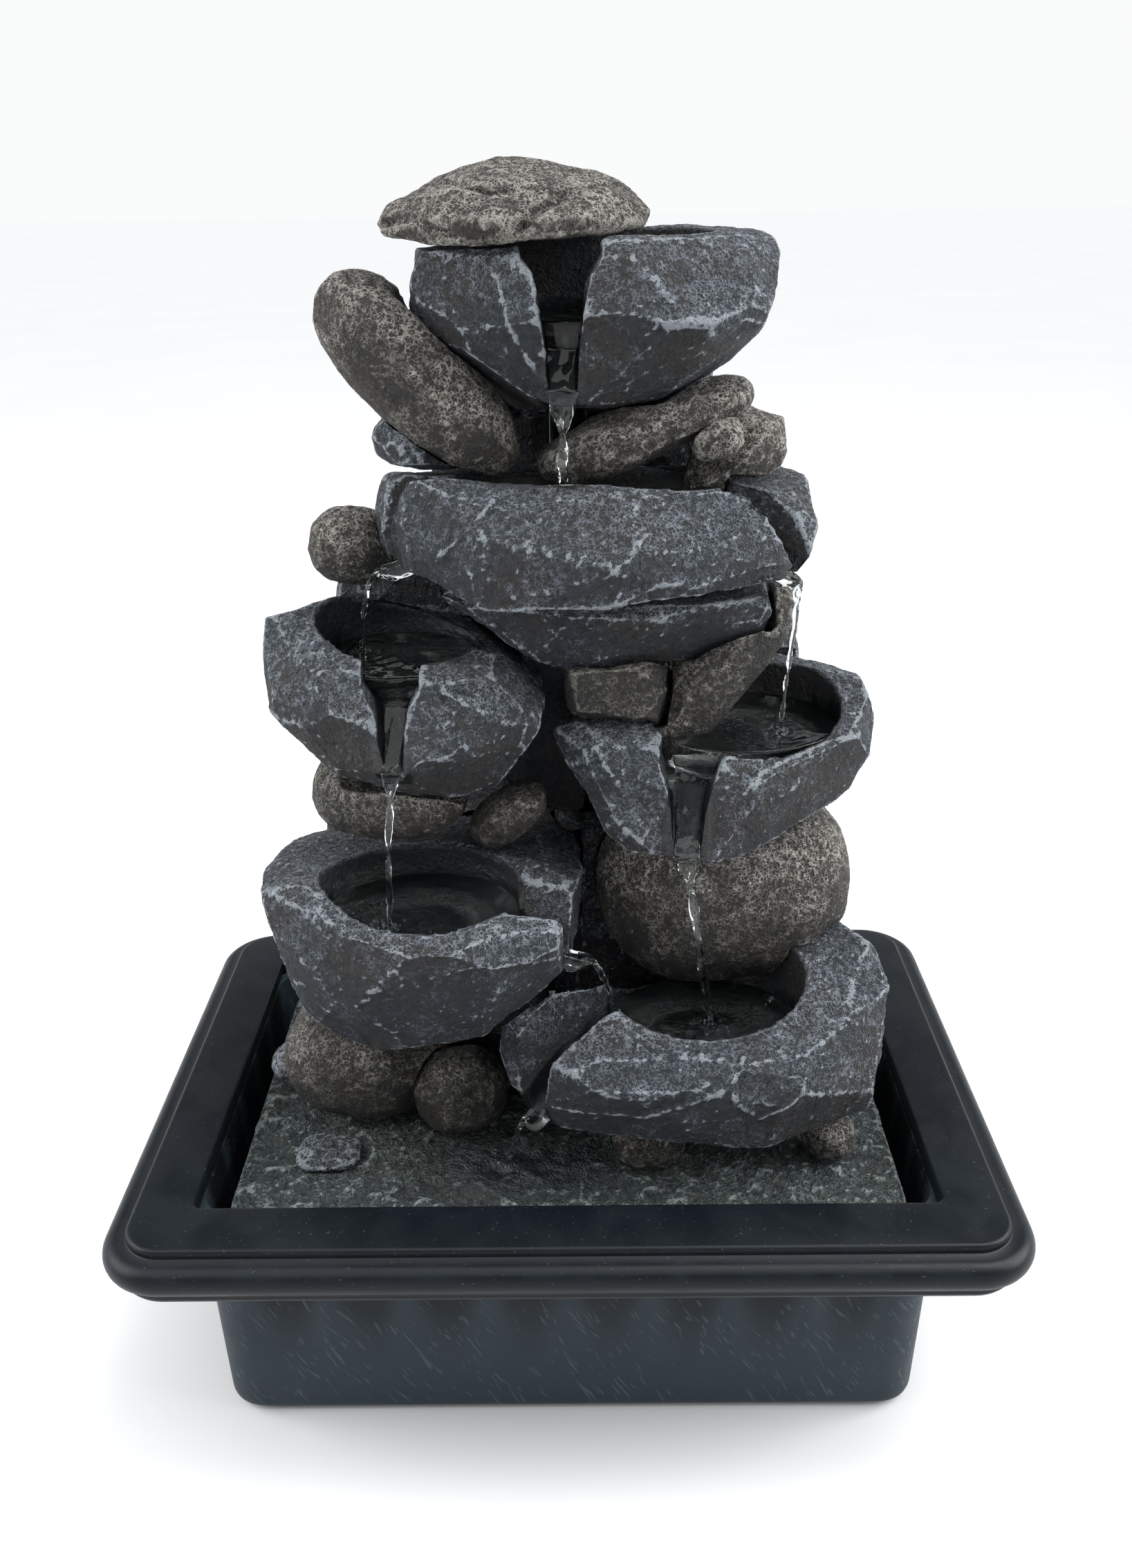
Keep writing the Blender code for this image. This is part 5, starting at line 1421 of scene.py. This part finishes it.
class SplashTree:
    """The Geometry Nodes tree that scatters bubbles on the water round a landing point."""

    def __init__(self) -> None:
        """Build the tree."""
        tree = bpy.data.node_groups.new("splash_bubbles", "GeometryNodeTree")
        self.group = tree
        self.sockets = {}
        face = tree.interface
        face.new_socket("Geometry", in_out="INPUT", socket_type="NodeSocketGeometry")
        for name, kind in (("Count", "Int"), ("Reach", "Float"), ("Radius", "Float"), ("Seed", "Int"),
                           ("Material", "Material")):
            self.sockets[name] = face.new_socket(name, in_out="INPUT", socket_type="NodeSocket" + kind).identifier
        face.new_socket("Geometry", in_out="OUTPUT", socket_type="NodeSocketGeometry")
        given = add_node(tree, Kind.INPUT).node.outputs
        points = add_node(tree, "GeometryNodePoints", {"Count": given["Count"]})
        angle = self.random(given, 0.0, 2 * math.pi, 1)
        share = self.random(given, 0.0, 1.0, 2)
        near = add_node(tree, Kind.MATH, (share, share), **TIMES)
        reach = add_node(tree, Kind.MATH, (near, given["Reach"]), **TIMES)
        turns = [add_node(tree, Kind.MATH, (angle,), operation=way) for way in ("COSINE", "SINE")]
        across, along = (add_node(tree, Kind.MATH, (reach, turn), **TIMES) for turn in turns)
        place = add_node(tree, "ShaderNodeCombineXYZ", {0: across, 1: along})
        tree.links.new(place, points.node.inputs["Position"])
        ball = add_node(tree, "GeometryNodeMeshIcoSphere", {"Radius": given["Radius"], "Subdivisions": 2})
        size = self.random(given, 0.35, 1.0, 3)
        balls = add_node(tree, "GeometryNodeInstanceOnPoints", {"Points": points, "Instance": ball, "Scale": size})
        real = add_node(tree, Kind.REALIZE, {"Geometry": balls})
        smooth = add_node(tree, Kind.SET_SMOOTH, {"Geometry": real})
        dressed = add_node(tree, Kind.SET_MATERIAL, {"Geometry": smooth, "Material": given["Material"]})
        add_node(tree, Kind.OUTPUT, {"Geometry": dressed})

    def random(self, given: bpy.types.bpy_prop_collection, low: float, high: float, shift: int) -> Socket:
        """A random number for each bubble.

        Args:
            given: The tree's inputs.
            low: Least value.
            high: Greatest value.
            shift: Keeps this number's seed apart from the others'.

        Returns:
            The number.
        """
        seed = add_node(self.group, Kind.MATH, (given["Seed"], float(shift * 37)), **PLUS)
        return add_node(self.group, "FunctionNodeRandomValue", {2: low, 3: high, "Seed": seed},
                        data_type="FLOAT", out=1)

    def scatter(self, name: str, centre: Point, count: int, reach: float, radius: float, seed: int,
                material: Material) -> Item:
        """Scatter bubbles round a point and keep them as a plain mesh.

        Args:
            name: The piece's name.
            centre: Where the water lands.
            count: How many bubbles.
            reach: Furthest distance in millimetres.
            radius: Largest radius in millimetres.
            seed: Seed of their places and sizes.
            material: The water.

        Returns:
            The bubbles.
        """
        item = mesh_object(name, [(0, 0, 0)], [])
        modifier = item.modifiers.new("bubbles", "NODES")
        modifier.node_group = self.group
        values = {"Count": count, "Reach": reach * MM, "Radius": radius * MM, "Seed": seed, "Material": material}
        for key, value in values.items():
            modifier[self.sockets[key]] = value
        freeze(item)
        set_positions(item, positions(item) + np.array(centre))
        return item


@dataclass
class RunningWater:
    """All the water: pools, channels, falls and bubbles."""

    def build(self, running: Material) -> None:
        """Make every body of water and ride it on the cascade."""
        channels = {channel.name.removesuffix("_channel"): channel for channel in CHANNELS}
        falls = {fall.name.removesuffix("_fall"): fall for fall in FALLS}
        for name, (basin, ways) in BODIES_OF_WATER.items():
            parts = [basin.pool()]
            for way in ways:
                parts += [channels[way].build(), falls[way].build()]
            self.merge(name + "_water", parts, running)
        tree = SplashTree()
        spots = [(name, (*basin.landing, basin.level + 0.2)) for name, (basin, _) in BODIES_OF_WATER.items()
                 if basin.landing]
        spots += [("tip", (12.0, -20.0, 93.4)), ("deck", (-14.6, -27.0, 59.6))]
        for seed, (name, centre) in enumerate(spots):
            item = tree.scatter(name + "_bubbles", centre, 26, 5.0, 0.5, seed + 3, running)
            attach(item, Body.CASCADE, Slot.WATER)

    @staticmethod
    def merge(name: str, parts: list[Surface], material: Material) -> None:
        """Join a pool, its channels and its falls into one body of water.

        Args:
            name: The piece's name.
            parts: Points and faces of each part.
            material: The water.
        """
        points, faces, offset = [], [], 0
        for part in parts:
            offset = Fall.extend(points, faces, part, offset)
        item = mesh_object(name, np.concatenate(points), faces)
        remesh(item, WATER_SKIN, 9)
        item.data.shade_smooth()
        dress(item, material)
        attach(item, Body.CASCADE, Slot.WATER)


# ---------------------------------------------------------------- pump, feet and fittings


@dataclass(frozen=True)
class Fitting:
    """A small moulded piece: its solid, with the hard edges rounded."""

    node: str
    body: Body
    slot: Slot
    finish: str
    bevel: float = 0.3

    def build(self, frame: dict, material: Material) -> None:
        """Round the solid's edges and dress it."""
        item = solid_copy(frame["nodes"][self.node], self.node + "_moulded")
        bevel = item.modifiers.new("edge", "BEVEL")
        bevel.width = self.bevel * MM
        bevel.segments = 3
        bevel.limit_method = "ANGLE"
        bevel.angle_limit = math.radians(35)
        bevel.use_clamp_overlap = True
        freeze(item)
        item.data.shade_smooth()
        item.data.set_sharp_from_angle(angle=math.radians(42))
        dress(item, material)
        attach(item, self.body, self.slot, self.node)


CORNERS = ("front_left", "front_right", "back_left", "back_right")
FITTINGS = (
    *(Fitting("foot_" + corner, Body.BASE, Slot.RUBBER, "rubber", 0.2) for corner in CORNERS),
    *(Fitting("suction_cup_" + corner, Body.BASE, Slot.RUBBER, "rubber", 0.2) for corner in CORNERS),
    Fitting("cord_gland", Body.BASE, Slot.RUBBER, "rubber", 0.25),
    Fitting("pump_motor", Body.BASE, Slot.PUMP, "pump"),
    Fitting("pump_chamber", Body.BASE, Slot.PUMP, "pump", 0.2),
    Fitting("pump_cover", Body.STRAINER, Slot.PUMP, "pump", 0.15),
    Fitting("flow_regulator", Body.REGULATOR, Slot.REGULATOR, "regulator", 0.2),
    Fitting("impeller", Body.ROTOR, Slot.ROTOR, "ferrite", 0.12),
    Fitting("rotor_shaft", Body.BASE, Slot.CERAMIC, "ceramic", 0.1),
    Fitting("water_tube", Body.CASCADE, Slot.TUBE, "tube", 0.2),
)


# ---------------------------------------------------------------- studio


@dataclass
class Studio:
    """The pale floor, the soft lights and the camera."""

    location: Point = (3.485, -280.319, 280.693)     # of the camera
    tilt: Point = (64.734, 0.794, 0.201)             # degrees
    lens: float = 30.025
    suns: tuple = (("overhead", 72, 2.12, (3, 0)), ("window", 26, 1.0, (-6, 20)))   # spread, strength, tilt
    panels: tuple = (("left", (-760, -60, 560), 6.4), ("right", (760, -40, 560), 8.0))   # place, watts
    panel_size: float = 600.0
    target: Point = (0, 0, 130)                      # where the panels face
    floor_reach: float = 9000.0

    def build(self) -> None:
        """Make the floor, the lights and the camera."""
        self.floor()
        for sun in self.suns:
            self.sun(*sun)
        for panel in self.panels:
            self.panel(*panel)
        self.world()
        data = bpy.data.cameras.new("camera")
        data.lens = self.lens
        data.clip_start = 0.01
        camera = bpy.data.objects.new("camera", data)
        camera.location = Vector(self.location) * MM
        camera.rotation_euler = Euler([math.radians(a) for a in self.tilt])
        bpy.context.scene.collection.objects.link(camera)
        bpy.context.scene.camera = camera
        bpy.context.scene.view_settings.view_transform = "Standard"

    def floor(self) -> None:
        """A wide pale floor of painted board."""
        reach = self.floor_reach
        corners = [(-reach, -reach, 0), (reach, -reach, 0), (reach, reach, 0), (-reach, reach, 0)]
        item = mesh_object("floor", corners, [(0, 1, 2, 3)], smooth=False)
        material, tree, shader = new_material("pale_painted_floor")
        cloud = add_node(tree, Kind.NOISE, sized(millimetres(tree), 160, 3.0))
        tone = add_node(tree, Kind.RANGE, (cloud, 0.3, 0.7), **SMOOTH)
        colour = add_node(tree, Kind.MIX, {0: tone, 6: "#e3e4e5", 7: "#e5e6e7"}, **COLOUR)
        tree.links.new(colour, shader.inputs["Base Color"])
        shader.inputs["Roughness"].default_value = 0.95
        shader.inputs["Specular IOR Level"].default_value = 0.1
        dress(item, material)

    @staticmethod
    def sun(name: str, spread: float, strength: float, tilt: tuple[float, float]) -> None:
        """A very soft light from above, the same over the whole floor.

        Args:
            name: The light's name.
            spread: Its angle in degrees.
            strength: Its strength.
            tilt: Degrees about X and Y.
        """
        data = bpy.data.lights.new(name, "SUN")
        data.angle = math.radians(spread)
        data.energy = strength
        item = bpy.data.objects.new(name, data)
        item.rotation_euler = (math.radians(tilt[0]), math.radians(tilt[1]), 0)
        bpy.context.scene.collection.objects.link(item)

    def panel(self, name: str, place: Point, watts: float) -> None:
        """A square area light aimed at the fountain.

        Args:
            name: The light's name.
            place: Its middle.
            watts: Its power.
        """
        data = bpy.data.lights.new(name, "AREA")
        data.size = self.panel_size * MM
        data.energy = watts
        item = bpy.data.objects.new(name, data)
        item.location = Vector(place) * MM
        item.rotation_euler = (Vector(self.target) - Vector(place)).to_track_quat("-Z", "Y").to_euler()
        bpy.context.scene.collection.objects.link(item)

    @staticmethod
    def world() -> None:
        """A surround that is pale near the horizon and dim overhead."""
        world = bpy.data.worlds.new("studio")
        bpy.context.scene.world = world
        world.use_nodes = True
        tree = world.node_tree
        direction = add_node(tree, Kind.COORDINATES, out="Generated")
        height = add_node(tree, Kind.SEPARATE, {0: direction}, out=2)
        overhead = add_node(tree, Kind.RANGE, (height, 0.3, 0.6), **SMOOTH)
        colour = add_node(tree, Kind.MIX, {0: overhead, 6: "#fafbfb", 7: "#3f464c"}, **COLOUR)
        tree.links.new(colour, tree.nodes["Background"].inputs["Color"])


# ---------------------------------------------------------------- whole object


def main() -> None:
    """Build the fountain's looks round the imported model."""
    logging.basicConfig(level=logging.INFO, format="%(name)s %(message)s")
    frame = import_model()
    stones = {Slot.GREY: GREY_STONE.build(), Slot.BROWN: BROWN_STONE.build(), Slot.DECK: DECK_STONE.build()}
    tree = SurfaceTree()
    for seed, stone in enumerate((*BOWLS, *BOULDERS, DECK, COVER)):
        stone.build(frame, tree, stones[stone.slot], seed + 11)
    Tub().build(TUB_ABS.build())
    Rim().build(RIM_ABS.build())
    RunningWater().build(WATER.build())
    finishes = {"rubber": BLACK_RUBBER.build(), "pump": PUMP_ABS.build(), "regulator": REGULATOR_ABS.build(),
                "ferrite": FERRITE.build(), "ceramic": CERAMIC.build(), "tube": CLEAR_PVC.build()}
    for fitting in FITTINGS:
        fitting.build(frame, finishes[fitting.finish])
    Studio().build()


if __name__ == "__main__":
    main()
